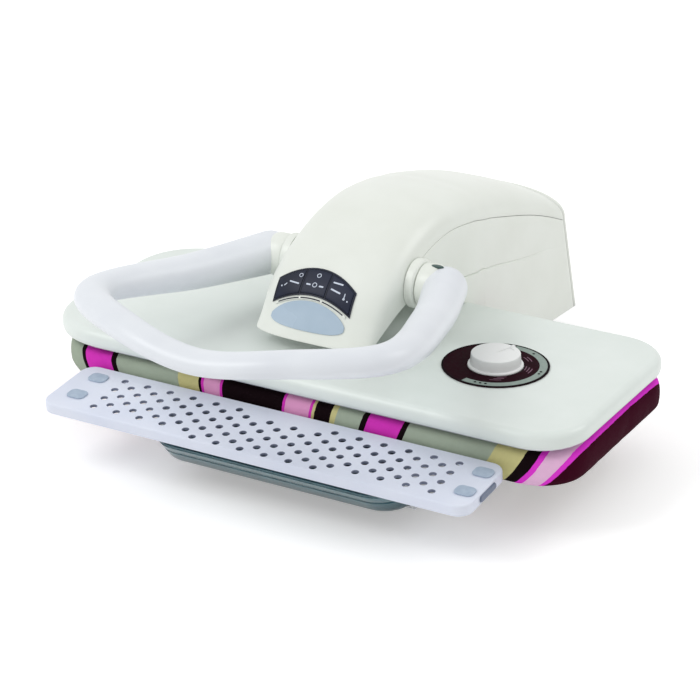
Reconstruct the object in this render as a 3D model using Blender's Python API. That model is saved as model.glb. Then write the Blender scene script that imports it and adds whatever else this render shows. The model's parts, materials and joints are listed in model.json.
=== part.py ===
# Steam ironing press: a padded board on a low base, a heated head on a hinged arm,
# a loop handle, a perforated shelf and a water tank that slides out below the shelf.
# Lengths are metres. X runs to the user's right, Y away from the user and Z up.
# The origin lies on the table under the middle of the press.
# Distances "back" are measured from the front edge of the head, "up" from its top face.

import math
from collections import namedtuple

import bmesh
import bpy
from mathutils import Matrix, Vector

# Fits
gap = 0.0003
running_gap = 0.0005
seam_gap = 0.0006
overrun = 0.004
least_radius = 0.0006
sharp_angle = math.radians(32)
arc_steps = 7
round_sides = 20
small_sides = 12

# Heated head
head_width = 0.640
head_depth = 0.280
head_left_radius = 0.0755
head_right_radius = 0.056
shell_height = 0.018
shell_wall = 0.003
shell_edge_radius = 0.009
sole_inset = 0.006
sole_thickness = 0.008
steam_hole_radius = 0.0022
steam_hole_pitch = 0.060
steam_hole_rows = 3
steam_hole_columns = 8
element_inset = 0.050
element_radius = 0.003
insulation_inset = 0.012
insulation_thickness = 0.0043

# Temperature dial
dial_from_right = 0.145
dial_back = 0.134
dial_ring_radius = 0.057
dial_ring_thickness = 0.001
knob_flange_radius = 0.0295
knob_flange_thickness = 0.003
knob_foot_radius = 0.0270
knob_top_radius = 0.0262
knob_height = 0.0150
knob_edge = 0.0012
knob_pointer_width = 0.0042
knob_pointer_angle = math.radians(70)
knob_wedge_depth = 0.0008
knob_wedge_spread = math.radians(24)
spindle_radius = 0.003
spindle_entry = 0.007
thermostat_radius = 0.013

# Board
board_left_inset = 0.0095
foot_height = 0.014
foot_radius = 0.013
foot_taper_shares = ((0.80, 0.0), (0.92, 0.2), (1.00, 1.0))
bottom_plate_thickness = 0.0025
chassis_height = 0.0414
chassis_wall = 0.003
chassis_half_width = 0.200
chassis_front_back = 0.050
chassis_rear_back = 0.285
chassis_corner_radius = 0.008
chassis_edge = 0.002
tongue_half_width = 0.080
tongue_behind_hinge = 0.005
tongue_corner_radius = 0.012
rim_height = 0.0032
rim_width = 0.012
rim_inset = 0.008
rim_rear_back = 0.225
deck_inset = 0.016
deck_thickness = 0.008
pad_height = 0.0252
pad_side_gap = 0.0006
cloth = 0.0015
hem_width = 0.033
hem_inset = 0.012
board_edge_shares = (
    # inset from the widest line, height up the side
    (1.00, 0.00),
    (0.45, -0.03),
    (0.10, 0.06),
    (0.00, 0.36),
    (0.10, 0.68),
    (0.42, 0.88),
    (1.30, 1.00),
)
pad_foot_row = 3

# Shelf
shelf_x = 0.0058
shelf_half_length = 0.253
shelf_rear_front = 0.004
shelf_rear_drop = 0.037
shelf_slope_length = 0.0923
shelf_tilt = math.radians(4.7)
shelf_plate_thickness = 0.003
shelf_rim_depth = 0.012
shelf_rim_wall = 0.0025
shelf_corner_radius = 0.016
shelf_edge = 0.002
shelf_hole_radius = 0.0035
shelf_pitch_x = 0.0287
shelf_pitch_y = 0.0199
shelf_front_row = 0.0767
shelf_middle_column = 7
shelf_field_shift = 0.0065
shelf_pad_half_length = 0.0105
shelf_pad_half_width = 0.0085
shelf_pad_thickness = 0.0015
shelf_pad_from_end = 0.022
shelf_pad_taper_share = 0.1
shelf_pad_slopes = (0.0235, 0.0630)
lens_length = 0.034
lens_height = 0.0075
lens_thickness = 0.0016
lens_slope = 0.046

# Water tank and its rails
tank_x = 0.025
tank_half_length = 0.142
tank_bottom = 0.0288
tank_height = 0.0265
tank_wall = 0.002
tank_front_top = 0.088
tank_front_bottom = 0.066
tank_rear_back = 0.030
tank_front_radius = 0.030
tank_rear_radius = 0.010
tank_edge_radius = 0.006
tank_lid_thickness = 0.002
tank_filler_radius = 0.013
tank_filler_x = 0.070
tank_filler_front = 0.026
cap_radius = 0.017
cap_height = 0.0028
cap_plug_depth = 0.006
cap_grip_height = 0.0012
cap_grip_width = 0.004
rail_thickness = 0.004
rail_lip_width = 0.016
rail_lip_thickness = 0.0025
rail_front_top = 0.056
rail_front_bottom = 0.036
rail_slot_radius = 0.005
socket_radius = 0.007
socket_bore = 0.003
socket_up = 0.022

# Arm, as ribs from the top centre line down to the lower edge
arm_x = -0.010
arm_start_back = 0.058
arm_length = 0.4465
arm_rise = 0.127
arm_half_width = 0.105
arm_wall = 0.0025
crown_depth = 0.034
crown_power = 0.77
crease_step = 0.0014
rear_cover_depth = 0.0105
rear_cover_inset = 0.006
rear_cover_round_shares = ((0.0, 0.0), (0.55, 0.1), (0.9, 0.5), (1.0, 1.0))
rear_cover_side_shares = (0.33, 0.66, 1.0)
ribs_per_share = 2
panel_start_station = 3.7

# Each rib: top back, top up, bottom back, bottom up, seam width, foot width, crown, crease, crease step
arm_rib_shares = (
    (0.000, 0.118, 0.045, 0.138, 0.667, 0.667, 0.53, 0.90, 0.0),
    (0.031, 0.315, 0.105, 0.228, 0.676, 0.676, 0.70, 0.90, 0.0),
    (0.072, 0.543, 0.179, 0.323, 0.686, 0.686, 0.88, 0.90, 0.0),
    (0.161, 0.772, 0.255, 0.358, 0.686, 0.686, 0.97, 0.90, 0.0),
    (0.278, 0.937, 0.338, 0.300, 0.686, 0.690, 1.00, 0.86, 0.6),
    (0.403, 1.000, 0.430, 0.060, 0.695, 0.714, 1.00, 0.78, 1.0),
    (0.524, 0.965, 0.515, -0.031, 0.719, 0.762, 1.00, 0.62, 1.0),
    (0.587, 0.921, 0.542, -0.315, 0.733, 0.800, 1.00, 0.50, 0.9),
    (0.652, 0.874, 0.546, -0.669, 0.752, 0.876, 1.00, 0.41, 0.7),
    (0.803, 0.724, 0.755, -0.669, 0.800, 0.943, 1.00, 0.34, 0.4),
    (0.889, 0.610, 0.889, -0.669, 0.848, 0.971, 1.00, 0.31, 0.1),
    (0.959, 0.488, 1.000, -0.669, 0.895, 1.000, 1.00, 0.30, 0.0),
)
panel_level_shares = (0.0, 0.5, 0.96)
crease_level_shares = (0.04, 0.5, 1.0)
nose_floor_shares = (0.22, 0.42, 0.70, 1.00)
floor_end_station = 7.3
slope_step = 0.1

# Control panel on the nose
panel_shift = -0.006
key_half_width = 0.046
key_top = 0.0805
key_top_sag = 0.0180
key_bottom = 0.0515
key_bottom_sag = 0.0140
key_divider_shares = (-0.352, 0.320)
key_divider_width = 0.0012
key_proud = 0.0016
key_depth = 0.0030
key_travel = 0.0015
bezel_border = 0.0018
bezel_proud = 0.0012
seat_on_skin = 0.0005
strip_height = 0.0030
strip_spacing = 0.0014
label_half_width = 0.0455
label_bottom = 0.0118
label_bottom_sag = -0.0050
label_corner_power = 8
label_end_share = 0.985
mat_border = 0.0040
mat_skin_gap = 0.0042
mat_recess = 0.0020
mat_plane = 0.0190
board_thickness = 0.0016
board_border = 0.0030

# Handle loop, as centre-line points and half-sizes of its section
handle_pivot_share = 0.24
handle_pivot_up_share = 0.476
handle_front = 0.156
handle_half_span = 0.173
handle_section = 0.021
handle_shares = (
    # across, back from the pivot to the front, up, section width, section height
    (0.625, 0.000, 0.0, 1.14, 1.14),
    (0.825, 0.305, 0.2, 1.02, 0.94),
    (1.000, 0.748, 1.0, 0.93, 0.72),
    (0.540, 0.946, 1.0, 0.90, 0.64),
    (0.000, 1.000, 0.6, 0.86, 0.60),
)
handle_climb = 0.0265
handle_sides = 12
handle_steps = 5
handle_end_turns = (80, 60, 35)
handle_shaft_radius = 0.008
handle_shaft_entry = 0.019
knuckle_radius = 0.027
knuckle_length = 0.010
knuckle_edge = 0.003
cam_radius = 0.0105
cam_offset = 0.0025
cam_inner = 0.022
cam_width = 0.012

# Arm frame, hinge and hanger
frame_half_width = 0.045
frame_depth = 0.024
frame_sheet = 0.002
frame_shares = (
    (0.134, 0.488),
    (0.262, 0.488),
    (0.396, 0.614),
    (0.542, 0.551),
    (0.688, 0.276),
)
frame_tail = 0.0115
hinge_share = 0.889
hinge_drop = 0.042
hinge_shaft_radius = 0.005
hinge_overhang = 0.005
bracket_clearance = 0.0045
bracket_thickness = 0.005
bracket_eye_radius = 0.012
bracket_foot_front = 0.030
bracket_foot_rear = 0.004
bush_radius = 0.0085
bush_flange_radius = 0.0115
bush_flange_thickness = 0.002
spring_wire_radius = 0.0011
spring_turns = 4
spring_points_per_turn = 8
spring_pitch = 0.0034
spring_start = 0.010
spring_leg = 0.016
hanger_radius = 0.016
hanger_share = 0.18
hanger_flange_radius = 0.030
hanger_flange_thickness = 0.004
hanger_rib_thickness = 0.003

# Inside the base
pump_radius = 0.017
pump_height = 0.030
pump_head_radius = 0.011
pump_head_height = 0.006
pump_x = -0.110
pump_back = 0.165
inlet_x = 0.140
inlet_up = 0.022
inlet_radius = 0.0068
inlet_flange_radius = 0.011
inlet_flange_thickness = 0.0025
inlet_length = 0.013
inlet_bore = 0.004

# Heights that follow from the stack
bottom_plate_z = foot_height + gap
chassis_z = bottom_plate_z + bottom_plate_thickness + gap
chassis_top = chassis_z + chassis_height
deck_z = chassis_top + rim_height + gap
pad_z = deck_z + deck_thickness + gap
cover_top = pad_z + pad_height + gap + cloth
cover_z = deck_z - running_gap - cloth
sole_z = cover_top + running_gap
element_z = sole_z + sole_thickness + gap
insulation_z = element_z + 2 * element_radius + gap
head_top = insulation_z + insulation_thickness + gap + shell_wall
shell_z = head_top - shell_height
arm_back_end = arm_start_back + arm_length
handle_pivot_back = arm_start_back + arm_length * handle_pivot_share
handle_pivot_up = arm_rise * handle_pivot_up_share
hanger_back = arm_start_back + arm_length * hanger_share
hinge_back = arm_start_back + arm_length * hinge_share
tongue_rear_back = hinge_back + tongue_behind_hinge
dial_x = head_width / 2 - dial_from_right
shelf_pad_x = shelf_half_length - shelf_pad_from_end
front_reach = handle_front + handle_section * handle_shares[-1][3]
rear_reach = arm_back_end + rear_cover_depth
front_edge = (front_reach - rear_reach) / 2
hinge_z = head_top - hinge_drop
pivot_z = head_top + handle_pivot_up
arm_side = arm_half_width * arm_rib_shares[3][4]
shelf_z = head_top - shelf_rear_drop

Rib = namedtuple("Rib", "top bottom seam_width foot_width crown crease crease_step")


def y_at(back):
    """Y of a point at a distance behind the head's front edge."""
    return front_edge + back


def colour(code):
    """Linear red, green, blue and alpha of a six-digit sRGB code."""
    channels = [int(code[i:i + 2], 16) / 255 for i in (0, 2, 4)]
    linear = [c / 12.92 if c <= 0.04045 else ((c + 0.055) / 1.055) ** 2.4 for c in channels]
    return (*linear, 1.0)


def material(name, code, roughness, metallic=0.0):
    """A plain surface with the part's colour, roughness and metallic value."""
    mat = bpy.data.materials.new(name)
    mat.use_nodes = True
    shader = mat.node_tree.nodes["Principled BSDF"]
    shader.inputs["Base Color"].default_value = colour(code)
    shader.inputs["Roughness"].default_value = roughness
    shader.inputs["Metallic"].default_value = metallic
    return mat


def filleted(corners, steps=arc_steps):
    """Outline of a polygon of (x, y, radius) corners, each corner rounded by an arc."""
    points = []
    for i, (x, y, radius) in enumerate(corners):
        here = Vector((x, y))
        before = (Vector(corners[i - 1][:2]) - here).normalized()
        after = (Vector(corners[(i + 1) % len(corners)][:2]) - here).normalized()
        half = before.angle(after) / 2
        centre = here + (before + after).normalized() * radius / math.sin(half)
        start = here + before * radius / math.tan(half) - centre
        end = here + after * radius / math.tan(half) - centre
        first = math.atan2(start.y, start.x)
        turn = math.atan2(end.y, end.x) - first
        turn = (turn + math.pi) % (2 * math.pi) - math.pi
        for k in range(steps + 1):
            angle = first + turn * k / steps
            points.append((centre.x + radius * math.cos(angle), centre.y + radius * math.sin(angle)))
    return points


def inset(corners, distance):
    """Move each edge of a counter-clockwise polygon inwards, with its corner radii."""
    result = []
    for i, (x, y, radius) in enumerate(corners):
        here = Vector((x, y))
        along_in = (here - Vector(corners[i - 1][:2])).normalized()
        along_out = (Vector(corners[(i + 1) % len(corners)][:2]) - here).normalized()
        normal_in = Vector((-along_in.y, along_in.x))
        normal_out = Vector((-along_out.y, along_out.x))
        shift = (normal_in + normal_out) / (1 + normal_in.dot(normal_out)) * distance
        bulge = 1 if along_in.cross(along_out) > 0 else -1
        result.append((x + shift.x, y + shift.y, max(radius - bulge * distance, least_radius)))
    return result


def rectangle(left, right, front, rear, radius):
    """Corners of a rectangle whose corners share one radius, counter-clockwise."""
    return [(left, front, radius), (right, front, radius), (right, rear, radius), (left, rear, radius)]


def ring(corners, z, distance=0.0, steps=arc_steps):
    """Points of an inset outline at a height."""
    return [(x, y, z) for x, y in filleted(inset(corners, distance), steps)]


def circle(radius, z, sides=round_sides, centre=(0, 0)):
    """Points of a level circle."""
    angles = [2 * math.pi * k / sides for k in range(sides)]
    return [(centre[0] + radius * math.cos(a), centre[1] + radius * math.sin(a), z) for a in angles]


def loft(rings, closed=False):
    """One body through rings of as many points each; its ends are capped or, if closed, joined."""
    bm = bmesh.new()
    rows = [[bm.verts.new(point) for point in points] for points in rings]
    count = len(rows[0])
    pairs = list(zip(rows, rows[1:]))
    if closed:
        pairs.append((rows[-1], rows[0]))
    else:
        bm.faces.new(rows[0][::-1])
        bm.faces.new(rows[-1])
    for low, high in pairs:
        for i in range(count):
            j = (i + 1) % count
            bm.faces.new((low[i], low[j], high[j], high[i]))
    bmesh.ops.recalc_face_normals(bm, faces=bm.faces)
    return bm


def prism(outline, low, high):
    """Body of a level outline between two heights."""
    return loft([[(x, y, z) for x, y in outline] for z in (low, high)])


def turned(profile, sides=round_sides, hollow=False):
    """Body of (radius, height) pairs turned about Z; a hollow one's profile closes on itself."""
    return loft([circle(radius, height, sides) for radius, height in profile], closed=hollow)


def along_x(bm, centre):
    """Lay a body that was built along Z along +X from a centre point."""
    bm.transform(Matrix.Translation(centre) @ Matrix.Rotation(math.pi / 2, 4, "Y"))
    return bm


def along_y(bm, centre):
    """Lay a body that was built along Z along +Y from a centre point."""
    bm.transform(Matrix.Translation(centre) @ Matrix.Rotation(-math.pi / 2, 4, "X"))
    return bm


def moved(bm, centre):
    """Shift a body."""
    bm.transform(Matrix.Translation(centre))
    return bm


def side_prism(outline, low, high):
    """Body of an outline of (y, z) points between two X positions."""
    return loft([[(x, y, z) for y, z in outline] for x in (low, high)])


def place(name, bm, mat, origin=(0, 0, 0)):
    """Name a body, give it its surface and set its origin, keeping it where it was built."""
    bm.transform(Matrix.Translation(-Vector(origin)))
    mesh = bpy.data.meshes.new(name)
    bm.to_mesh(mesh)
    bm.free()
    if mat is not None:
        mesh.materials.append(mat)
    mesh.shade_smooth()
    mesh.set_sharp_from_angle(angle=sharp_angle)
    obj = bpy.data.objects.new(name, mesh)
    obj.location = origin
    bpy.context.scene.collection.objects.link(obj)
    return obj


def boolean(obj, name, bm, operation="DIFFERENCE", parent=None):
    """Cut a body out of an object, or join it on, with a hidden guide that may hang on a parent."""
    guide = place(name, bm, None)
    guide.parent = parent
    guide.hide_render = True
    guide.display_type = "WIRE"
    change = obj.modifiers.new(name, "BOOLEAN")
    change.operation = operation
    change.solver = "EXACT"
    change.object = guide
    return obj


def joined(parts):
    """Put separate bodies into one mesh."""
    whole = bmesh.new()
    for part in parts:
        mesh = bpy.data.meshes.new("piece")
        part.to_mesh(mesh)
        part.free()
        whole.from_mesh(mesh)
        bpy.data.meshes.remove(mesh)
    return whole


def tube(name, points, radius, mat, cyclic=False):
    """Round tube along a list of points, with filled ends."""
    curve = bpy.data.curves.new(name, "CURVE")
    curve.dimensions = "3D"
    curve.bevel_depth = radius
    curve.bevel_resolution = 1
    curve.use_fill_caps = True
    curve.materials.append(mat)
    line = curve.splines.new("POLY")
    line.points.add(len(points) - 1)
    for slot, point in zip(line.points, points):
        slot.co = (*point, 1)
    line.use_cyclic_u = cyclic
    obj = bpy.data.objects.new(name, curve)
    bpy.context.scene.collection.objects.link(obj)
    return obj


def spline(rows, station):
    """Numbers of a smooth curve through rows of numbers, at a station counted in rows."""
    index = min(int(station), len(rows) - 2)
    t = station - index
    before = rows[max(index - 1, 0)]
    after = rows[min(index + 2, len(rows) - 1)]
    values = []
    for a, b, c, d in zip(before, rows[index], rows[index + 1], after):
        cubic = 3 * b - a - 3 * c + d
        square = 2 * a - 5 * b + 4 * c - d
        values.append(b + ((c - a) * t + square * t ** 2 + cubic * t ** 3) / 2)
    return values


def stations(first, last):
    """Evenly spaced stations between two, about ribs_per_share to each rib."""
    count = max(round((last - first) * ribs_per_share), 1)
    return [first + (last - first) * k / count for k in range(count + 1)]


# Heated head

def head_corners():
    """Plan outline of the head."""
    left = -head_width / 2
    front, rear = y_at(0), y_at(head_depth)
    return [(left, front, head_left_radius), (-left, front, head_right_radius),
            (-left, rear, head_right_radius), (left, rear, head_left_radius)]


def head_shell(mat):
    """Moulded cover of the head, open below, with a rounded upper edge."""
    corners = head_corners()
    inner_top = head_top - shell_wall
    inner_edge = shell_edge_radius - shell_wall
    rings = []
    for turn in (90, 45, 0):
        angle = math.radians(turn)
        side = shell_wall + inner_edge * (1 - math.cos(angle))
        rings.append(ring(corners, inner_top - inner_edge * (1 - math.sin(angle)), side))
    rings.append(ring(corners, shell_z, shell_wall))
    rings.append(ring(corners, shell_z))
    for turn in (0, 30, 60, 90):
        angle = math.radians(turn)
        side = shell_edge_radius * (1 - math.cos(angle))
        rings.append(ring(corners, head_top - shell_edge_radius * (1 - math.sin(angle)), side))
    obj = place("head_shell", loft(rings), mat)
    hole = turned([(spindle_radius + gap, head_top - shell_wall - overrun),
                   (spindle_radius + gap, head_top + overrun)], small_sides)
    return boolean(obj, "cut_spindle", moved(hole, (dial_x, y_at(dial_back), 0)))


def sole_plate(mat):
    """Cast heating plate with rows of steam holes, staggered."""
    corners = head_corners()
    top = sole_z + sole_thickness
    rings = [ring(corners, sole_z, sole_inset + sole_inset / 2),
             ring(corners, sole_z + sole_inset / 4, sole_inset), ring(corners, top, sole_inset)]
    obj = place("heating_plate", loft(rings), mat)
    holes = []
    for row in range(steam_hole_rows):
        for column in range(steam_hole_columns - row % 2):
            x = (column - (steam_hole_columns - 1 - row % 2) / 2) * steam_hole_pitch
            y = y_at(head_depth / 2) + (row - (steam_hole_rows - 1) / 2) * steam_hole_pitch
            hole = turned([(steam_hole_radius, sole_z - overrun), (steam_hole_radius, top + overrun)], 6)
            holes.append(moved(hole, (x, y, 0)))
    return boolean(obj, "cut_steam_holes", joined(holes))


def heating_element(mat):
    """Sheathed heater bent round the plate."""
    points = ring(head_corners(), element_z + element_radius, element_inset)
    return tube("heating_element", points, element_radius, mat, cyclic=True)


def insulation(mat):
    """Insulating mat between the heater and the shell."""
    corners = head_corners()
    rings = [ring(corners, z, insulation_inset) for z in (insulation_z, insulation_z + insulation_thickness)]
    obj = place("insulation", loft(rings), mat)
    radius = thermostat_radius + running_gap
    hole = turned([(radius, insulation_z - overrun), (radius, head_top)])
    return boolean(obj, "cut_thermostat", moved(hole, (dial_x, y_at(dial_back), 0)))


def thermostat(mat):
    """Thermostat body on the plate, with its spindle through the shell."""
    top = insulation_z + insulation_thickness
    tip = head_top + gap + spindle_entry
    profile = [(thermostat_radius, element_z), (thermostat_radius, top), (spindle_radius, top),
               (spindle_radius, tip)]
    return place("thermostat", moved(turned(profile), (dial_x, y_at(dial_back), 0)), mat)


def dial_ring(mat):
    """Printed ring round the knob."""
    low, high = head_top + gap, head_top + gap + dial_ring_thickness
    bore = knob_flange_radius + running_gap
    profile = [(dial_ring_radius, low), (dial_ring_radius, high), (bore, high), (bore, low)]
    bm = loft([circle(radius, z, 2 * round_sides) for radius, z in profile], closed=True)
    return place("dial_ring", moved(bm, (dial_x, y_at(dial_back), 0)), mat)


def dial_knob(mat):
    """Turning knob with a flange, a pointer on its rim and a blind bore for the spindle."""
    low = head_top + gap
    flange = low + knob_flange_thickness
    top = low + knob_height
    profile = [(spindle_radius + gap, low + spindle_entry + gap), (spindle_radius + gap, low),
               (knob_flange_radius - knob_edge, low), (knob_flange_radius, low + knob_edge),
               (knob_flange_radius - knob_edge, flange), (knob_foot_radius, flange + gap),
               (knob_top_radius, top - knob_edge), (knob_top_radius - knob_edge, top)]
    centre = (dial_x, y_at(dial_back), 0)
    obj = place("dial_knob", moved(turned(profile, 2 * small_sides), centre), mat, centre[:2] + (head_top,))
    spin = Matrix.Translation(centre) @ Matrix.Rotation(knob_pointer_angle, 4, "Z")
    half = knob_pointer_width / 2
    pointer = prism([(knob_top_radius - knob_pointer_width, -half), (knob_foot_radius, -half),
                     (knob_foot_radius, half), (knob_top_radius - knob_pointer_width, half)],
                    flange - knob_edge, top + knob_edge / 2)
    pointer.transform(spin)
    boolean(obj, "join_pointer", pointer, "UNION")
    reach = knob_top_radius - knob_pointer_width - knob_edge
    wedge = prism([(0, 0), (reach * math.cos(knob_wedge_spread), -reach * math.sin(knob_wedge_spread)),
                   (reach, 0)], top - knob_wedge_depth, top + overrun)
    wedge.transform(spin)
    return boolean(obj, "cut_wedge", wedge)


# Board and base

def chassis_corners():
    """Plan outline of the base: a wide front and a narrow tongue under the arm's hinge."""
    left, right = arm_x - tongue_half_width, arm_x + tongue_half_width
    front, middle, rear = y_at(chassis_front_back), y_at(chassis_rear_back), y_at(tongue_rear_back)
    wide, corner, tongue = chassis_half_width, chassis_corner_radius, tongue_corner_radius
    return [(-wide, front, corner), (wide, front, corner), (wide, middle, tongue),
            (right, middle, corner), (right, rear, tongue), (left, rear, tongue),
            (left, middle, corner), (-wide, middle, tongue)]


def rim_corners():
    """Plan outline of the raised rim that carries the deck."""
    side = chassis_half_width - rim_inset
    front, rear = y_at(chassis_front_back + rim_inset), y_at(rim_rear_back)
    return rectangle(-side, side, front, rear, tongue_corner_radius)


def base_chassis(mat):
    """Moulded base housing, open below, with the rim, the cord's hole and the water port."""
    corners = chassis_corners()
    inner_top = chassis_top - chassis_wall
    rings = [ring(corners, inner_top, chassis_wall, 4), ring(corners, chassis_z, chassis_wall, 4),
             ring(corners, chassis_z, 0, 4), ring(corners, chassis_top - chassis_edge, 0, 4),
             ring(corners, chassis_top, chassis_edge, 4)]
    obj = place("base_chassis", loft(rings), mat)
    sunk = chassis_top - chassis_wall / 2
    top = chassis_top + rim_height
    rim = loft([ring(rim_corners(), sunk, 0, 4), ring(rim_corners(), top, 0, 4),
                ring(rim_corners(), top, rim_width, 4), ring(rim_corners(), sunk, rim_width, 4)], closed=True)
    boolean(obj, "join_rim", rim, "UNION")
    gland = turned([(inlet_radius + gap, 0), (inlet_radius + gap, 2 * overrun + chassis_wall)], small_sides)
    gland_at = (inlet_x, y_at(chassis_rear_back) - chassis_wall - overrun, chassis_z + inlet_up)
    boolean(obj, "cut_cord_hole", along_y(gland, gland_at))
    port = turned([(socket_bore, 0), (socket_bore, 2 * overrun + chassis_wall)], small_sides)
    port_at = (tank_x, y_at(chassis_front_back) - overrun, chassis_z + socket_up)
    return boolean(obj, "cut_water_port", along_y(port, port_at))


def bottom_plate(mat):
    """Flat plate that closes the base from below."""
    corners = chassis_corners()
    top = bottom_plate_z + bottom_plate_thickness
    rings = [ring(corners, z, gap, 4) for z in (bottom_plate_z, top)]
    return place("base_bottom_plate", loft(rings), mat)


def feet(mat):
    """Six rubber feet."""
    side = chassis_half_width - 3 * foot_radius
    tail = tongue_half_width - 1.5 * foot_radius
    front, middle = y_at(chassis_front_back + 3 * foot_radius), y_at(chassis_rear_back - 2.5 * foot_radius)
    rear = y_at(tongue_rear_back - 1.2 * foot_radius)
    places = {"foot_front_left": (-side, front), "foot_front_right": (side, front),
              "foot_middle_left": (-side, middle), "foot_middle_right": (side, middle),
              "foot_rear_left": (arm_x - tail, rear), "foot_rear_right": (arm_x + tail, rear)}
    profile = [(foot_radius * wide, foot_height * high) for wide, high in foot_taper_shares]
    for name, (x, y) in places.items():
        place(name, moved(turned(profile, small_sides), (x, y, 0)), mat, (x, y, 0))


def board_corners():
    """Plan outline of the board, which stops short of the head's left end."""
    left = -head_width / 2 + board_left_inset
    return [(max(x, left), y, radius) for x, y, radius in head_corners()]


def board_edge(side_inset, low, high):
    """Rings up the bulging side of the board, from its under edge to its top."""
    corners = board_corners()
    rings = []
    for inset_share, height_share in board_edge_shares:
        z = low + (high - low) * height_share
        rings.append(ring(corners, z, side_inset + hem_inset * inset_share))
    return rings


def board_deck(mat):
    """Stiff deck under the pad."""
    rings = [ring(board_corners(), z, deck_inset) for z in (deck_z, deck_z + deck_thickness)]
    return place("board_deck", loft(rings), mat)


def board_pad(mat):
    """Foam pad with drawn-in sides and a crown."""
    low, high = cover_z + cloth, pad_z + pad_height
    foot_share = (pad_z - low) / (high - low)
    under, over = board_edge_shares[pad_foot_row - 1:pad_foot_row + 1]
    blend = (foot_share - under[1]) / (over[1] - under[1])
    foot = hem_inset * (under[0] + (over[0] - under[0]) * blend)
    rings = [ring(board_corners(), pad_z, cloth + pad_side_gap + foot)]
    rings += board_edge(cloth + pad_side_gap, low, high)[pad_foot_row:]
    return place("board_pad", loft(rings), mat)


def board_cover(mat):
    """Cloth cover over the pad, drawn in under the deck to a hem."""
    corners = board_corners()
    rings = [ring(corners, cover_z, hem_inset + hem_width)]
    rings += board_edge(0, cover_z, cover_top)
    inner = board_edge(cloth, cover_z + cloth, cover_top - cloth)
    inner.reverse()
    inner.append(ring(corners, cover_z + cloth, hem_inset + hem_width))
    body = loft(inner + rings)
    return place("board_cover", body, mat)


def pump(mat):
    """Water pump in the base."""
    low = bottom_plate_z + bottom_plate_thickness + gap
    high = low + pump_height
    profile = [(pump_radius, low), (pump_radius, high), (pump_head_radius, high),
               (pump_head_radius, high + pump_head_height)]
    return place("pump", moved(turned(profile, small_sides), (pump_x, y_at(pump_back), 0)), mat)


def cord_inlet(mat):
    """Hollow gland in the base's rear wall."""
    flange = chassis_wall + gap
    profile = [(inlet_bore, 0), (inlet_radius, 0), (inlet_radius, flange),
               (inlet_flange_radius, flange), (inlet_flange_radius, flange + inlet_flange_thickness),
               (inlet_radius, flange + inlet_flange_thickness), (inlet_radius, flange + inlet_length),
               (inlet_bore, flange + inlet_length)]
    body = along_y(turned(profile, small_sides, hollow=True),
                   (inlet_x, y_at(chassis_rear_back) - chassis_wall, chassis_z + inlet_up))
    return place("cord_inlet", body, mat)


# Shelf

def shelf_corners():
    """Outline of the shelf in its own plane, with its rear edge at Y zero."""
    return rectangle(-shelf_half_length, shelf_half_length, -shelf_slope_length, 0, shelf_corner_radius)


def shelf_hole_places():
    """Centres of the shelf's holes: a staggered grid with an arched front and rear edge."""
    middle = shelf_middle_column
    places = []
    for half_steps in range(4 * middle + 1):
        column = half_steps / 2
        if half_steps % 2 == 0:
            rows = [0, 1, 2] if abs(column - middle) < 2 else [0, 1, 2, 3]
        else:
            rows = [-0.5, 0.5, 1.5, 2.5] if abs(column - middle) < 3 else [0.5, 1.5, 2.5]
        for row in rows:
            x = shelf_field_shift + (column - middle) * shelf_pitch_x
            places.append((x, row * shelf_pitch_y - shelf_front_row))
    return places


def shelf_plate(mat):
    """Perforated shelf with a down-turned rim."""
    corners = shelf_corners()
    profile = [(-shelf_plate_thickness, shelf_rim_wall), (-shelf_rim_depth, shelf_rim_wall),
               (-shelf_rim_depth, 0), (-shelf_edge, 0), (-shelf_edge / 3, shelf_edge / 3), (0, shelf_edge)]
    rings = [ring(corners, height, distance) for height, distance in profile]
    obj = place("shelf_plate", loft(rings), mat)
    obj.location = (shelf_x, y_at(-shelf_rear_front), shelf_z)
    obj.rotation_euler = (shelf_tilt, 0, 0)
    holes = []
    for x, y in shelf_hole_places():
        hole = turned([(shelf_hole_radius, -shelf_plate_thickness - overrun), (shelf_hole_radius, overrun)], 8)
        holes.append(moved(hole, (x, y, 0)))
    return boolean(obj, "cut_shelf_holes", joined(holes), parent=obj)


def on_shelf(obj, shelf):
    """Hang an object that was built in the shelf's own plane on the shelf."""
    obj.parent = shelf
    return obj


def shelf_pads(shelf, mat):
    """Four oval rubber pads near the shelf's ends."""
    names = {-1: "left", 1: "right"}
    for side, end in names.items():
        for slope, depth in zip(shelf_pad_slopes, ("rear", "front")):
            rings = []
            for z, shrink in ((gap, 0), (gap + shelf_pad_thickness, shelf_pad_taper_share)):
                points = circle(1 - shrink, z, 2 * arc_steps)
                middle = shelf_field_shift + side * shelf_pad_x
                rings.append([(middle + x * shelf_pad_half_length, y * shelf_pad_half_width - slope, height)
                              for x, y, height in points])
            on_shelf(place(f"shelf_pad_{depth}_{end}", loft(rings), mat), shelf)


def shelf_lenses(shelf, mat):
    """Rounded inserts in the shelf's two end faces."""
    for side, end in ((-1, "left"), (1, "right")):
        inner = shelf_half_length + gap
        radius = lens_height / 2 - least_radius
        middle = -shelf_rim_depth / 2
        outline = rectangle(-lens_slope - lens_length / 2, -lens_slope + lens_length / 2,
                            middle - lens_height / 2, middle + lens_height / 2, radius)
        rings = []
        for depth, shrink in ((0, 0), (lens_thickness, lens_thickness / 2)):
            points = filleted(inset(outline, shrink), 3)
            rings.append([(side * (inner + depth), y, z) for y, z in points])
        on_shelf(place(f"shelf_lens_{end}", loft(rings), mat), shelf)


# Water tank

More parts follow.
